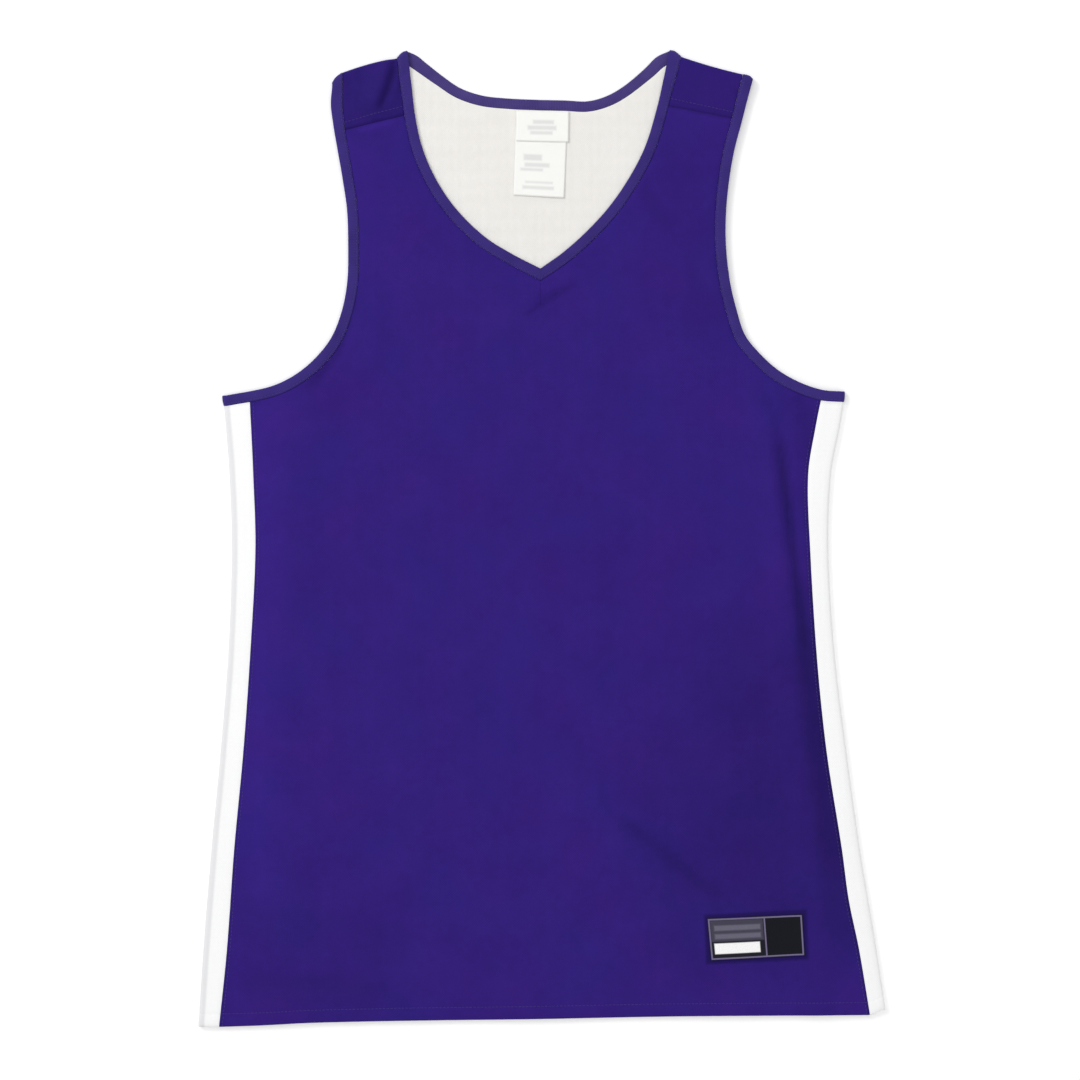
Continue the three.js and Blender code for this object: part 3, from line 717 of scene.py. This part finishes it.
# %% Ribbed binding and thread
def ribbed(name, yarn, hollow, inner):
    """Ribbed tape, paler on its lower layer, whose inner face shows at the back neck."""
    finish = Finish(name, Specular_IOR_Level=0.2, Sheen_Weight=0.05, Sheen_Roughness=0.5)
    along, across = finish.axes(finish.uv)
    rib = (along * (2 * math.pi / 1.25)).do("SINE")
    course = (across * (2 * math.pi / 0.7)).do("SINE")
    blotch = finish.noise(16, 2.0)
    shade = rib * -0.16 + course * 0.06 + (blotch - 0.5) * 0.6 + 0.35
    low = finish.ramp(finish.height(), 2.5, 3.0, 1.0, 0.0)
    finish.feed("Base Color", finish.blend(shade, finish.blend(low, yarn, inner), hollow))
    finish.feed("Roughness", blotch * 0.15 + 0.72)
    finish.bump(rib * 0.6 + course * 0.25, 0.14)
    return finish.material


def twisted(name, yarn, hollow):
    finish = Finish(name, Specular_IOR_Level=0.4, Sheen_Weight=0.2, Roughness=0.55)
    x, y = finish.axes(finish.place)
    ply = ((x + y) * (2 * math.pi / 0.5)).do("SINE")
    finish.feed("Base Color", finish.blend(ply * 0.3 + 0.4, yarn, hollow))
    return finish.material


binding_rib = ribbed("binding_rib", color(59, 42, 129), color(35, 22, 86), color(80, 66, 133))
purple_thread = twisted("purple_thread", color(52, 31, 122), color(33, 16, 88))
white_thread = twisted("white_thread", color(250, 250, 250), color(214, 214, 216))


# %% Labels and patch
def printed_label(name, bars):
    """Satin with soft grey bars, given as boxes in millimetres from the leaf's corner."""
    finish = Finish(name, Specular_IOR_Level=0.45, Sheen_Weight=0.1)
    x, y = finish.axes(finish.uv)
    ink = None
    for bar in bars:
        mark = inside(finish, x, y, bar, 1.1)
        ink = mark if ink is None else ink.do("MAXIMUM", mark)
    weft = (y * (2 * math.pi / 0.35)).do("SINE")
    blotch = finish.noise(14, 2.0)
    finish.feed("Base Color", finish.blend(
        ink * 0.5 + (blotch - 0.5) * 0.1, color(248, 248, 245), color(200, 200, 201)))
    finish.feed("Roughness", blotch * 0.2 + 0.42)
    finish.bump(weft + ink * 0.6, 0.03)
    return finish.material


short_print = printed_label("short_label_print", [
    (13, 13.5, 29, 16.5), (9, 9, 31, 12.2), (11, 5.4, 28, 8)])
long_print = printed_label("long_label_print", [
    (7, 27.5, 21, 32), (8, 22.5, 27, 25.5), (5, 19.4, 22, 21.4), (9, 10, 30, 11.6),
    (7, 5.5, 31, 8)])


def woven_patch(width, height):
    finish = Finish("patch_weave", Specular_IOR_Level=0.12, Sheen_Weight=0.02)
    x, y = finish.axes(finish.uv)

    def inset(edge):
        return inside(finish, x, y, (edge, edge, width - edge, height - edge), 0.2)

    rim = inset(0.4) - inset(1.6)
    divider = inside(finish, x, y, (42.5, 1.0, 43.6, height - 1.0), 0.2)
    bar = inside(finish, x, y, (3.6, 4.7, 38.4, 12.8), 0.5)
    field = inside(finish, x, y, (1.8, 14.2, 41.8, height - 1.8), 0.6)
    stripes = inside(finish, x, y, (4.6, 16.2, 39.6, 20.0), 1.0)
    stripes = stripes.do("MAXIMUM", inside(finish, x, y, (4.6, 22.6, 39.6, 26.6), 0.9))
    cell = inside(finish, x, y, (43.6, 1.3, width - 1.3, height - 1.3), 0.18)
    twill = ((x + y) * (2 * math.pi / 0.8)).do("SINE")
    weft = (y * (2 * math.pi / 0.5)).do("SINE")
    ground = finish.blend(twill * 0.25 + 0.4, color(30, 31, 42), color(18, 19, 27))
    ground = finish.blend(cell * 0.7, ground, color(13, 15, 22))
    ground = finish.blend(field * 0.5, ground, color(92, 87, 108))
    ground = finish.blend(stripes * 0.55, ground, color(126, 124, 142))
    ground = finish.blend(rim.do("MAXIMUM", divider) * 0.85, ground, color(127, 117, 152))
    finish.feed("Base Color", finish.blend(bar, ground, color(254, 254, 254)))
    finish.feed("Roughness", twill * 0.06 + 0.66)
    finish.bump(twill * 0.5 + weft * 0.3 + rim * 1.6 + bar * 0.8, 0.10)
    return finish.material


patch_weave = woven_patch(72.1, 32.4)
print("finishes:", len(bpy.data.materials))

# %% [markdown]
# ## Front and back
# A maker cuts the front and the back flat. Here each half is a set of rows from the hem
# up: straight across as far as the armpit, then from the neck to the armhole. Rows and
# columns crowd together at the hem and the seams, where the cloth thins into the stitch.

# %% Rows across a half panel
edge_steps = np.array([0, 0.5, 1.3, 2.4, 3.9, 5.9, 8.6])
knit, lining_knit_wall = 0.95, 0.8


def shares(length, middle):
    """Places across each row, crowded at both of its ends."""
    steps = edge_steps / length[:, None]
    last = steps[:, -1:]
    inner = last + (1 - 2 * last) * np.linspace(0, 1, middle + 2)[1:-1]
    return np.concatenate([steps, inner, 1 - steps[:, ::-1]], 1)


def lower_rows(half, middle):
    """Rows from the hem to the armpit."""
    outer = half["seam"][:, 0] - half["sign"] * seam_gap / 2
    s = shares(abs(outer - center_x), middle)
    x = mix(center_x, outer[:, None], s)
    top = mix(armpit_y, half["corner"][1], s)
    y = mix(read(hem, "x", "y", x), top, half["share"][:, None])
    y[:, -1] = half["seam"][:, 1]
    return x, y, np.zeros_like(x)


def upper_rows(half, inner, outer, near_inner, near_outer, middle):
    """Rows between two seams, bowed where they run into the shoulder fold."""
    s = shares(np.linalg.norm(outer - inner, axis=1), middle)
    near = mix(near_inner[:, None], near_outer[:, None], s)
    x = mix(inner[:, :1], outer[:, :1], s)
    y = mix(inner[:, 1:], outer[:, 1:], s) + half["side"]["fold_bow"] * np.sin(
        math.pi * s) * near
    return x, y, near


def middle_line(to, count):
    y = mix(armpit_y, to, np.arange(1, count) / count)
    return np.stack([np.full_like(y, center_x), y], 1)


def stack(*parts):
    return [np.concatenate(columns) for columns in zip(*parts)]


forward_gap, forward_thin, forward_dip = 0.05, 0.08, 0.05


def front_rows(half, middle):
    neck, arm = half["neck_front"], half["arm"]
    inner = np.vstack([middle_line(neck["panel"][0, 1], center_front_rows),
                       neck["panel"][: neck_front_rows + 1]])
    outer = arm["panel"][underarm_rows + 1: underarm_rows + 1 + arm_rows].copy()
    inner[-1, 1] -= forward_gap / 2
    outer[-1, 1] -= forward_gap / 2
    flat = np.zeros(len(inner))
    return stack(lower_rows(half, middle), upper_rows(half, inner, outer, flat, flat, middle))


def back_rows(half, middle):
    neck, arm = half["neck_back"], half["arm"]
    inner = np.vstack([middle_line(neck["panel"][0, 1], center_back_rows), neck["panel"]])
    near = np.concatenate([np.zeros(center_back_rows - 1), neck["near"]])
    up = slice(underarm_rows + 1, None)
    return stack(lower_rows(half, middle), upper_rows(
        half, inner, arm["panel"][up], near, arm["near"][up], middle))


def yoke_rows_of(half, middle):
    """Rows from the shoulder fold forward to its seam."""
    neck = {k: v[neck_front_rows:][::-1].copy() for k, v in half["neck_front"].items()}
    arm = {k: v[underarm_rows + arm_rows:][::-1].copy() for k, v in half["arm"].items()}
    neck["panel"][-1, 1] += forward_gap / 2
    arm["panel"][-1, 1] += forward_gap / 2
    return upper_rows(half, neck["panel"], arm["panel"], neck["near"], arm["near"], middle)


# %% Seams thin the cloth, and pull small puckers beside them
def seam_lines(half):
    neck, back, arm = half["neck_front"]["panel"], half["neck_back"]["panel"], half["arm"]
    forward = np.linspace(neck[neck_front_rows], arm["panel"][underarm_rows + arm_rows], 12)
    return dict(front=np.vstack([half["seam"], arm["panel"][underarm_rows:], neck[::-1]]),
                back=np.vstack([half["seam"], arm["panel"][underarm_rows:], back[::-1]]),
                forward=forward)


def from_line(x, y, line):
    """Distance from a line, and how far along it, for every point that is near it."""
    start, step = line[:-1], np.diff(line, axis=0)
    length = np.linalg.norm(step, axis=1)
    along = np.concatenate([[0], np.cumsum(length)])
    flat = np.stack([x.ravel(), y.ravel()], 1)
    far, place = np.full(len(flat), 99.0), np.zeros(len(flat))
    for i in range(0, len(flat), 4000):
        p = flat[i: i + 4000, None]
        u = np.clip(((p - start) * step).sum(-1) / (length**2 + 1e-9), 0, 1)
        d = np.linalg.norm(p - start - step * u[..., None], axis=-1)
        k = d.argmin(1)
        n = np.arange(len(k))
        far[i: i + 4000] = d[n, k]
        place[i: i + 4000] = along[k] + u[n, k] * length[k]
    return far.reshape(x.shape), place.reshape(x.shape)


def at_hem(half, wall):
    """Thickness of each row near the hem: turned up, and thin where it is stitched."""
    up = half["share"] * armpit_y
    return wall * np.interp(up, [0, 0.5, 1.4, 9.2, 10.0, 10.7, 12.0],
                            [0.5, 1.0, 1.26, 1.26, 0.72, 0.96, 1.0])


def front_z(x, y, wall, near):
    return front_level + wall / 2 + front_form(x, y) + shoulder_rise * near


def dip(far, depth=0.3):
    """A seam pulls the cloth down a little on both of its sides."""
    return -depth * np.exp(-((far / 1.6) ** 2))


def thinned(wall, far, share=0.3):
    """A wall that thins into a seam."""
    return wall * (1 - share * np.exp(-((far / 1.0) ** 2)))


def seam_side_shade(y, far):
    """Painted shade right beside a side seam, where the cloth goes down into the stitch."""
    return seam_shade * np.exp(-((far / seam_shade_reach) ** 2)) * (y < armpit_y)


def roll(half):
    """A hem rolls down at its very edge."""
    return -0.6 * np.exp(-((half["share"] * armpit_y / 1.8) ** 2))[:, None]


def cells(x, y, z):
    return np.stack([x, y, np.broadcast_to(z, x.shape)], -1)


def facing(half, *grids):
    """Turns the columns round at one side, so that both halves face the same way."""
    return [g if half["sign"] > 0 else g[:, ::-1] for g in grids]


front_shell, front_grids = Cloth(), []
for half in halves:
    x, y, near = front_rows(half, 46)
    lines = seam_lines(half)
    far, place = from_line(x, y, lines["front"])
    step, _ = from_line(x, y, lines["forward"])
    thick = thinned(thinned(knit, far), step, forward_thin)
    thick[: len(half["share"])] *= (at_hem(half, knit) / knit)[:, None]
    pucker = 0.16 * np.exp(-((far / 9) ** 2)) * np.sin(place * 0.52 + 2.2 * np.sin(place * 0.07))
    z = front_z(x, y, body_wall, near) + pucker * (1 - np.exp(-((far / 2.5) ** 2)))
    z += dip(far) + dip(step, forward_dip)
    z[: len(half["share"])] += roll(half)
    points = cells(x, y, z)
    front_grids.append((points, thick))
    # Painted shade and light for each point, with painted shade beside the side seam.
    dark = painted_shade(x, y) + seam_side_shade(y, far)
    points, thick, dark = facing(half, points, thick, dark)
    front_shell.grid(points, thick, painted_shades=dark)
front_cloth = front_shell.build("front_cloth", "front", "body_knit", body_knit)

# %% [markdown]
# ## The back comes over the shoulder
# The back is cut longer than the front, so at each shoulder it folds over and meets the
# front at a seam on the chest side. The fold is a half circle between the lower layer
# and the upper one, drawn with the same rungs as the bindings beside it.

# %% Around a fold, and the back
def around(low, high, way, thick_low, thick_high, steps=fold_steps, reach=1.0):
    """Rows between two rows, round the fold between them."""
    angle = (np.arange(1, steps) * math.pi / steps)[:, None]
    share = (1 - np.cos(angle)) / 2
    thick = mix(thick_low, thick_high, np.arange(1, steps)[:, None] / steps)
    points = mix(low, high, share[..., None])
    bulge = (fold_reach - body_wall / 2) * np.sin(angle) * reach
    points[..., :2] += way * bulge[..., None]
    return points, thick


back_shell, yoke_grids = Cloth(), []
for half in halves:
    x, y, _ = back_rows(half, 14)
    lines = seam_lines(half)
    far, _ = from_line(x, y, lines["back"])
    thick = thinned(knit, far)
    thick[: len(half["share"])] *= (at_hem(half, knit) / knit)[:, None]
    low = cells(x, y, body_wall / 2)
    # The back's lower layer carries the front's painted shade, mirrored and weaker, and painted
    # shade beside the seams.
    under = painted_shade(-x, y) * back_shade_share + seam_side_shade(y, far)
    x, y, near = yoke_rows_of(half, 14)
    edge, step = (from_line(x, y, lines[k])[0] for k in ("front", "forward"))
    high_thick = thinned(thinned(knit, edge), step, forward_thin)
    high = cells(x, y, front_z(x, y, body_wall, near)
                 + dip(edge) * (1 - near) + dip(step, forward_dip))
    fold, fold_thick = around(low[-1], high[0], half["outward"], thick[-1], high_thick[0])
    points, thick = np.vstack([low, fold, high]), np.vstack([thick, fold_thick, high_thick])
    yoke_grids.append((high, high_thick))
    # Painted shade and light on the yoke, and painted shade over all of it.
    over = painted_shade(x, y) + half["side"]["yoke_shade"]
    dark = np.vstack([under, np.repeat(over[:1], fold_steps - 1, 0), over])
    points, thick, dark = facing(half, points, thick, dark)
    back_shell.grid(points, thick, painted_shades=dark)
back_cloth = back_shell.build("back_cloth", "back", "body_knit", body_knit)

# %% [markdown]
# ## Lining
# The jersey can be worn either way out, so its back has a pale inner layer, and the neck
# shows it. It is cut like the back and lies almost flat, with only a faint swell. Along
# the armholes its edge runs just inside the binding, so that no light comes through.

# %% The pale inner layer of the back
lining_tuck = 0.4
lining_shell = Cloth()
for half in halves:
    x, y, _ = back_rows(half, 26)
    far, _ = from_line(x, y, seam_lines(half)["back"])
    thick = thinned(lining_knit_wall, far)
    arm_far, _ = from_line(x, y, half["arm"]["panel"][underarm_rows:])
    x += half["sign"] * lining_tuck * np.exp(-((arm_far / 3) ** 2))
    open_neck = smooth((y - 560) / 40)
    rise = (0.14 + swell(x, y, 11, 0.13, 60)) * open_neck * (1 - np.exp(-((far / 6) ** 2)))
    lining_shell.grid(*facing(half, cells(x, y, lining_level + lining_wall / 2 + rise), thick))
lining_cloth = lining_shell.build("lining_cloth", "back_lining", "lining_knit", lining_knit)

# %% [markdown]
# ## Side panels
# Each side is one strip from hem to armpit. Laid flat it folds along its own middle, so
# half of it shows and half lies underneath, with a soft round fold between.

# %% Strips folded along the side
near_seam = [0.93, 0.97]
side_cloths, side_grids = [], []
for half, tag in zip(halves, ("right", "left")):
    sign, share = half["sign"], half["share"][:, None]
    top = half["arm"]["panel"][: underarm_rows + 1].copy()
    top[-1, 0] += sign * seam_gap
    marks = (top[:, 0] - top[0, 0]) / (top[-1, 0] - top[0, 0])
    across = np.sort(np.concatenate([marks, near_seam]))
    top_x, top_y = mix(top[0, 0], top[-1, 0], across), np.interp(across, marks, top[:, 1])
    hem_y = mix(half["side"]["hem_edge_y"], half["seam"][0, 1], across)
    y = mix(hem_y, top_y, share)
    fold_x = read(half["side"]["panel"], "y", "edge", y) - sign * fold_reach
    seam_x = half["seam"][:, :1] + sign * seam_gap / 2
    x = mix(fold_x, seam_x, across)
    x += (top_x - x[-1]) * share**6
    seam_far = abs(x - seam_x)
    thick = thinned(np.repeat(at_hem(half, knit)[:, None], len(across), 1), seam_far)
    upper = cells(x, y, front_z(x, y, side_wall, 0) + dip(seam_far) + roll(half))
    lower = cells(x, y, side_wall / 2)
    fold = [around(lo, hi, half["sideways"], t, t) for lo, hi, t in
            zip(lower[:, :1], upper[:, :1], thick[:, :1])]
    middle = np.stack([p[::-1, 0] for p, _ in fold])
    middle_thick = np.stack([t[::-1, 0] for _, t in fold])
    points = np.concatenate([upper[:, ::-1], middle, lower], 1)
    thick = np.concatenate([thick[:, ::-1], middle_thick, thick], 1)
    step = np.linalg.norm(np.diff(points, axis=1), axis=2)
    along = np.concatenate([np.zeros((len(step), 1)), np.cumsum(step, 1)], 1)
    turn = along[:, len(across) + middle.shape[1] // 2, None]
    strip = Cloth()
    strip.grid(*facing(half, points, thick, np.stack([along - turn, points[..., 1]], -1)))
    side_cloths.append(strip.build(f"side_cloth_{tag}", f"side_panel_{tag}", "side_knit",
                                   side_knit))
    side_grids.append((points, thick))

# %% [markdown]
# ## Bindings
# A binding is a tape folded round the raw edge, so its face swells between its edge and
# its stitching. It runs as one closed loop: down the V, over the shoulder tips and along
# the back of the neck, or right round an armhole and across the top of the side panel.

# %% Tapes along the rungs
tape = np.array([0, 0.04, 0.12, 0.24, 0.38, 0.52, 0.64, 0.73, 0.8, 0.86, 0.93, 1.0])
swollen = 1 - 0.5 * abs(2 * tape - 1) ** 5 - 0.22 * np.exp(-(((tape - 0.8) / 0.045) ** 2))


def tape_rows(rung, wall, on_front):
    xy = mix(rung["edge"][:, None], rung["seam"][:, None], tape[:, None])
    x, y = xy[..., 0], xy[..., 1]
    near = np.broadcast_to(rung["near"][:, None], x.shape)
    z = front_z(x, y, wall, near) if on_front else wall / 2
    if on_front:
        z = z + dip((1 - tape) * binding_width) * (1 - near)
    return cells(x, y, z), np.broadcast_to(wall * swollen, x.shape).copy()


def turned_over(low, high, way):
    """A tape over the shoulder: its fold is flatter at the edge, so the tip is round."""
    flat = 0.3 + 0.7 * smooth(tape / 0.45)
    return around(low[0][-1], high[0][-1], way, low[1][-1], high[1][-1], reach=flat)


def along_tape(points, closed=True):
    """The tape's own map: how far along it, and how far across."""
    middle = points[:, len(tape) // 2]
    loop = np.vstack([middle, middle[:1]])
    far = np.concatenate([[0], np.cumsum(np.linalg.norm(np.diff(loop, axis=0), axis=1))])
    return np.stack(np.broadcast_arrays(far[:, None], tape * binding_width), -1)


neck_parts = []
for half in halves:
    back = tape_rows(half["neck_back"], back_neck_wall, False)
    front = tape_rows(half["neck_front"], binding_wall, True)
    fold = turned_over(back, front, half["outward"])
    neck_parts.append([np.vstack([b, f, t[::-1]]) for b, f, t in zip(back, fold, front)])
(right_points, right_thick), (left_points, left_thick) = neck_parts
neck_points = np.vstack([left_points, right_points[::-1][1:-1]])
neck_thick = np.vstack([left_thick, right_thick[::-1][1:-1]])
neck_tape = Cloth()
neck_tape.grid(neck_points, neck_thick, along_tape(neck_points), closed=True)
neck_binding = neck_tape.build("neck_tape", "neck_binding", "binding_knit", binding_rib)

arm_bindings, arm_grids = [], []
for half, tag in zip(halves, ("right", "left")):
    front = tape_rows(half["arm"], binding_wall, True)
    back = tape_rows(half["arm"], binding_wall, False)
    shoulder = turned_over(back, front, half["outward"])
    under = around(back[0][0], front[0][0], half["sideways"], back[1][0], front[1][0])
    points, thick = (np.vstack([f, s[::-1], b[::-1], u]) for f, s, b, u in
                     zip(front, shoulder, back, under))
    if half["sign"] < 0:
        points, thick = points[::-1], thick[::-1]
    arm_tape = Cloth()
    arm_tape.grid(points, thick, along_tape(points), closed=True)
    arm_bindings.append(arm_tape.build(f"armhole_tape_{tag}", f"armhole_binding_{tag}",
                                       "binding_knit", binding_rib))
    arm_grids.append(front)

# %% [markdown]
# ## Labels and patch
# Two satin leaves hang from the back of the neck, the short one on the long one. A patch
# is sewn on the front above the hem. Each is a small grid between its four corners that
# takes its height from what it lies on, so nothing floats or sinks.

# %% Flat pieces between four corners
def corner_piece(corners, columns, rows, height, thickness):
    a, b, c, d = (np.array(p, float) for p in corners)
    u = np.linspace(0, 1, columns + 1)[None, :, None]
    v = np.linspace(0, 1, rows + 1)[:, None, None]
    xy = mix(mix(a, b, u), mix(d, c, u), v)
    width, length = np.linalg.norm(b - a), np.linalg.norm(d - a)
    uv = np.stack(np.broadcast_arrays(u[..., 0] * width, v[..., 0] * length), -1)
    x, y = xy[..., 0], xy[..., 1]
    edge = np.minimum.reduce([uv[..., 0], uv[..., 1], width - uv[..., 0], length - uv[..., 1]])
    return cells(x, y, height(x, y, v[..., 0])), thickness(edge), uv


leaf_wall, leaf_level, leaf_curl, leaf_length = 0.36, 0.46, 0.3, 65.8


def long_height(x, y, v):
    """The long leaf is sewn down at its top, and its free end curls up a little."""
    free = 1 - np.clip((y - long_corners[1][1]) / leaf_length, 0, 1)
    wave = 0.125 * np.sin(x * 0.13 + y * 0.05) * free
    return lining_level + lining_wall + leaf_level + leaf_curl * free**2 + wave


def short_height(x, y, v):
    wave = 0.08 * np.sin(x * 0.16 + 1) * (1 - v)
    return long_height(x, y, v) + leaf_level + leaf_curl * (1 - v) ** 2 + wave


def patch_height(x, y, v):
    return front_level + body_wall / 2 + front_form(x, y) + knit / 2 + 0.5


def leaf(edge):
    return leaf_wall * (0.7 + 0.3 * smooth(edge))


def patch_body(edge):
    """The patch is thickest just inside its edge, where it is sewn over."""
    return np.where(edge < 1.4, 0.75 + 0.25 * smooth(edge / 0.5), 0.85)


for name, node, corners, size, height, thickness, slot, finish in (
    ("long_label", "neck_label_long", long_corners, (28, 44), long_height, leaf,
     "label_satin", long_print),
    ("short_label", "neck_label_short", short_corners, (28, 18), short_height, leaf,
     "label_satin", short_print),
    ("patch", "hem_patch", patch_corners, (72, 36), patch_height, patch_body,
     "patch_woven", patch_weave),
):
    piece = Cloth()
    piece.grid(*corner_piece(corners, *size, height, thickness))
    piece.build(name, node, slot, finish)

# %% [markdown]
# ## Stitches
# Thread holds the jersey together, and it shows close up along every seam. One stitch is
# modelled by hand, a small ball drawn out long and thin, and copied along each line. It
# lies in the groove that the thinner cloth leaves, so it is sunk in as real thread is.

# %% One stitch
bpy.ops.mesh.primitive_uv_sphere_add(segments=6, ring_count=4, radius=1.0)
bpy.ops.transform.resize(value=(1.05, 0.24, 0.2))
bpy.ops.object.transform_apply(location=False, rotation=False, scale=True)
bpy.ops.object.mode_set(mode="EDIT")
bpy.ops.mesh.select_all(action="SELECT")
bpy.ops.mesh.quads_convert_to_tris()
bpy.ops.object.mode_set(mode="OBJECT")
ball = bpy.context.active_object
stitch = np.array([v.co for v in ball.data.vertices])
stitch_faces = np.array([p.vertices for p in ball.data.polygons])
bpy.data.objects.remove(ball)
print("one stitch has", len(stitch_faces), "faces")


# %% Sewing lines
def on_face(points, thick, row=slice(None), column=slice(None), up=1):
    """A line of points on the outer face of a grid, with the way out at each."""
    a, b = np.gradient(points, axis=0), np.gradient(points, axis=1)
    out = unit(np.cross(a, b))
    out = out * np.where(out[..., 2:] * up < 0, -1, 1)
    face = points + out * (thick / 2)[..., None]
    return face[row, column], out[row, column]


def sew(name, runs, finish, pitch=2.9):
    places, faces, count = [], [], 0
    for line, out in runs:
        far = np.concatenate([[0], np.cumsum(np.linalg.norm(np.diff(line, axis=0), axis=1))])
        number = int(far[-1] / pitch)
        at = (np.arange(number) + 0.5) * far[-1] / number
        p, ahead, way = (np.stack([np.interp(s, far, c) for c in v.T], 1)
                         for s, v in ((at, line), (at + 0.6, line), (at, out)))
        ahead, way = unit(ahead - p), unit(way)
        cross = unit(np.cross(way, ahead))
        turn = np.stack([ahead, cross, np.cross(ahead, cross)], 2)
        made = np.einsum("nij,kj->nki", turn, stitch) + (p + way * 0.02)[:, None]
        places.append(made.reshape(-1, 3))
        faces.append((np.arange(number)[:, None, None] * len(stitch) + stitch_faces
                      + count).reshape(-1, 3))
        count += number * len(stitch)
    place = (np.vstack(places) - shift) / 1000
    return make_piece(name, place, np.vstack(faces), None, None, finish)


hem_row, inset = 8, -4
hem_runs = [on_face(p, t, row=hem_row) for p, t in front_grids]
hem_thread = sew("hem_thread", hem_runs, purple_thread)
side_runs = [on_face(p, t, row=slice(0, len(halves[0]["share"])), column=inset)
             for p, t in front_grids]
side_thread = sew("side_seam_thread", side_runs, purple_thread)
white_runs = [on_face(p, t, row=hem_row, column=slice(0, 10)) for p, t in side_grids]
side_hem_thread = sew("side_hem_thread", white_runs, white_thread)
sewn = int(np.argmin(abs(tape - 0.8)))
neck_run = on_face(left_points, left_thick, column=sewn)
neck_run_right = on_face(right_points, right_thick, column=sewn)
neck_thread = sew("neck_thread", [neck_run, neck_run_right], purple_thread)
arm_thread = sew("armhole_thread", [on_face(p, t, column=sewn) for p, t in arm_grids],
                 purple_thread)
forward_runs = [on_face(p, t, row=-3) for p, t in yoke_grids]
forward_thread = sew("shoulder_thread", forward_runs, purple_thread)

# %% [markdown]

# %% [markdown]
# ## Floor, light and camera
# The picture is a catalogue cut-out: soft even light, white ground, seen from straight
# above. A wide soft lamp overhead darkens every edge that rolls away from it, a smaller
# one from the upper left keeps the folds readable, and a pale sky fills the shadows.

# %% Stage
bpy.ops.object.select_all(action="DESELECT")
bpy.ops.mesh.primitive_plane_add(size=12, location=(0, 0, -0.0002))
floor = bpy.context.active_object
floor.name = "floor"
ground = Finish("white_ground", Roughness=0.9, Specular_IOR_Level=0.1,
                Base_Color=color(253, 253, 253), Emission_Color=color(255, 255, 255),
                Emission_Strength=0.07)
floor.data.materials.append(ground.material)

world = bpy.data.worlds.new("studio")
bpy.context.scene.world = world
world.use_nodes = True
world.node_tree.nodes["Background"].inputs["Color"].default_value = (1.0, 1.0, 1.0, 1.0)
world.node_tree.nodes["Background"].inputs["Strength"].default_value = 0.58


def lamp(name, place, size, power):
    bpy.ops.object.light_add(type="AREA", location=place)
    made = bpy.context.active_object
    made.name = name
    made.data.shape, made.data.size, made.data.energy = "DISK", size, power
    aim = -made.location.normalized()
    made.rotation_euler = aim.to_track_quat("-Z", "Y").to_euler()


lamp("overhead_lamp", (0.0, 0.0, 3.0), 3.0, 30)
lamp("key_lamp", (-1.9, 1.7, 1.9), 1.2, 34)

picture_pixels, pixel_mm, zero_column, zero_row = 1080, 0.77, 542, 1027
middle_pixel = picture_pixels / 2
center = np.array([middle_pixel - zero_column, zero_row - middle_pixel, 0]) * pixel_mm
picture_center = (center - shift) / 1000
field, lens, sensor, level = picture_pixels * pixel_mm / 1000, 85.0, 36.0, 0.004
bpy.ops.object.camera_add(location=(picture_center[0], picture_center[1],
                                    level + field * lens / sensor))
camera = bpy.context.active_object
camera.data.lens, camera.data.sensor_width = lens, sensor
camera.rotation_euler = (0, 0, 0)
camera.data.clip_start, camera.data.clip_end = 0.05, 50
bpy.context.scene.camera = camera
bpy.context.scene.view_settings.view_transform = "Standard"
print("camera at", [round(v, 3) for v in camera.location])
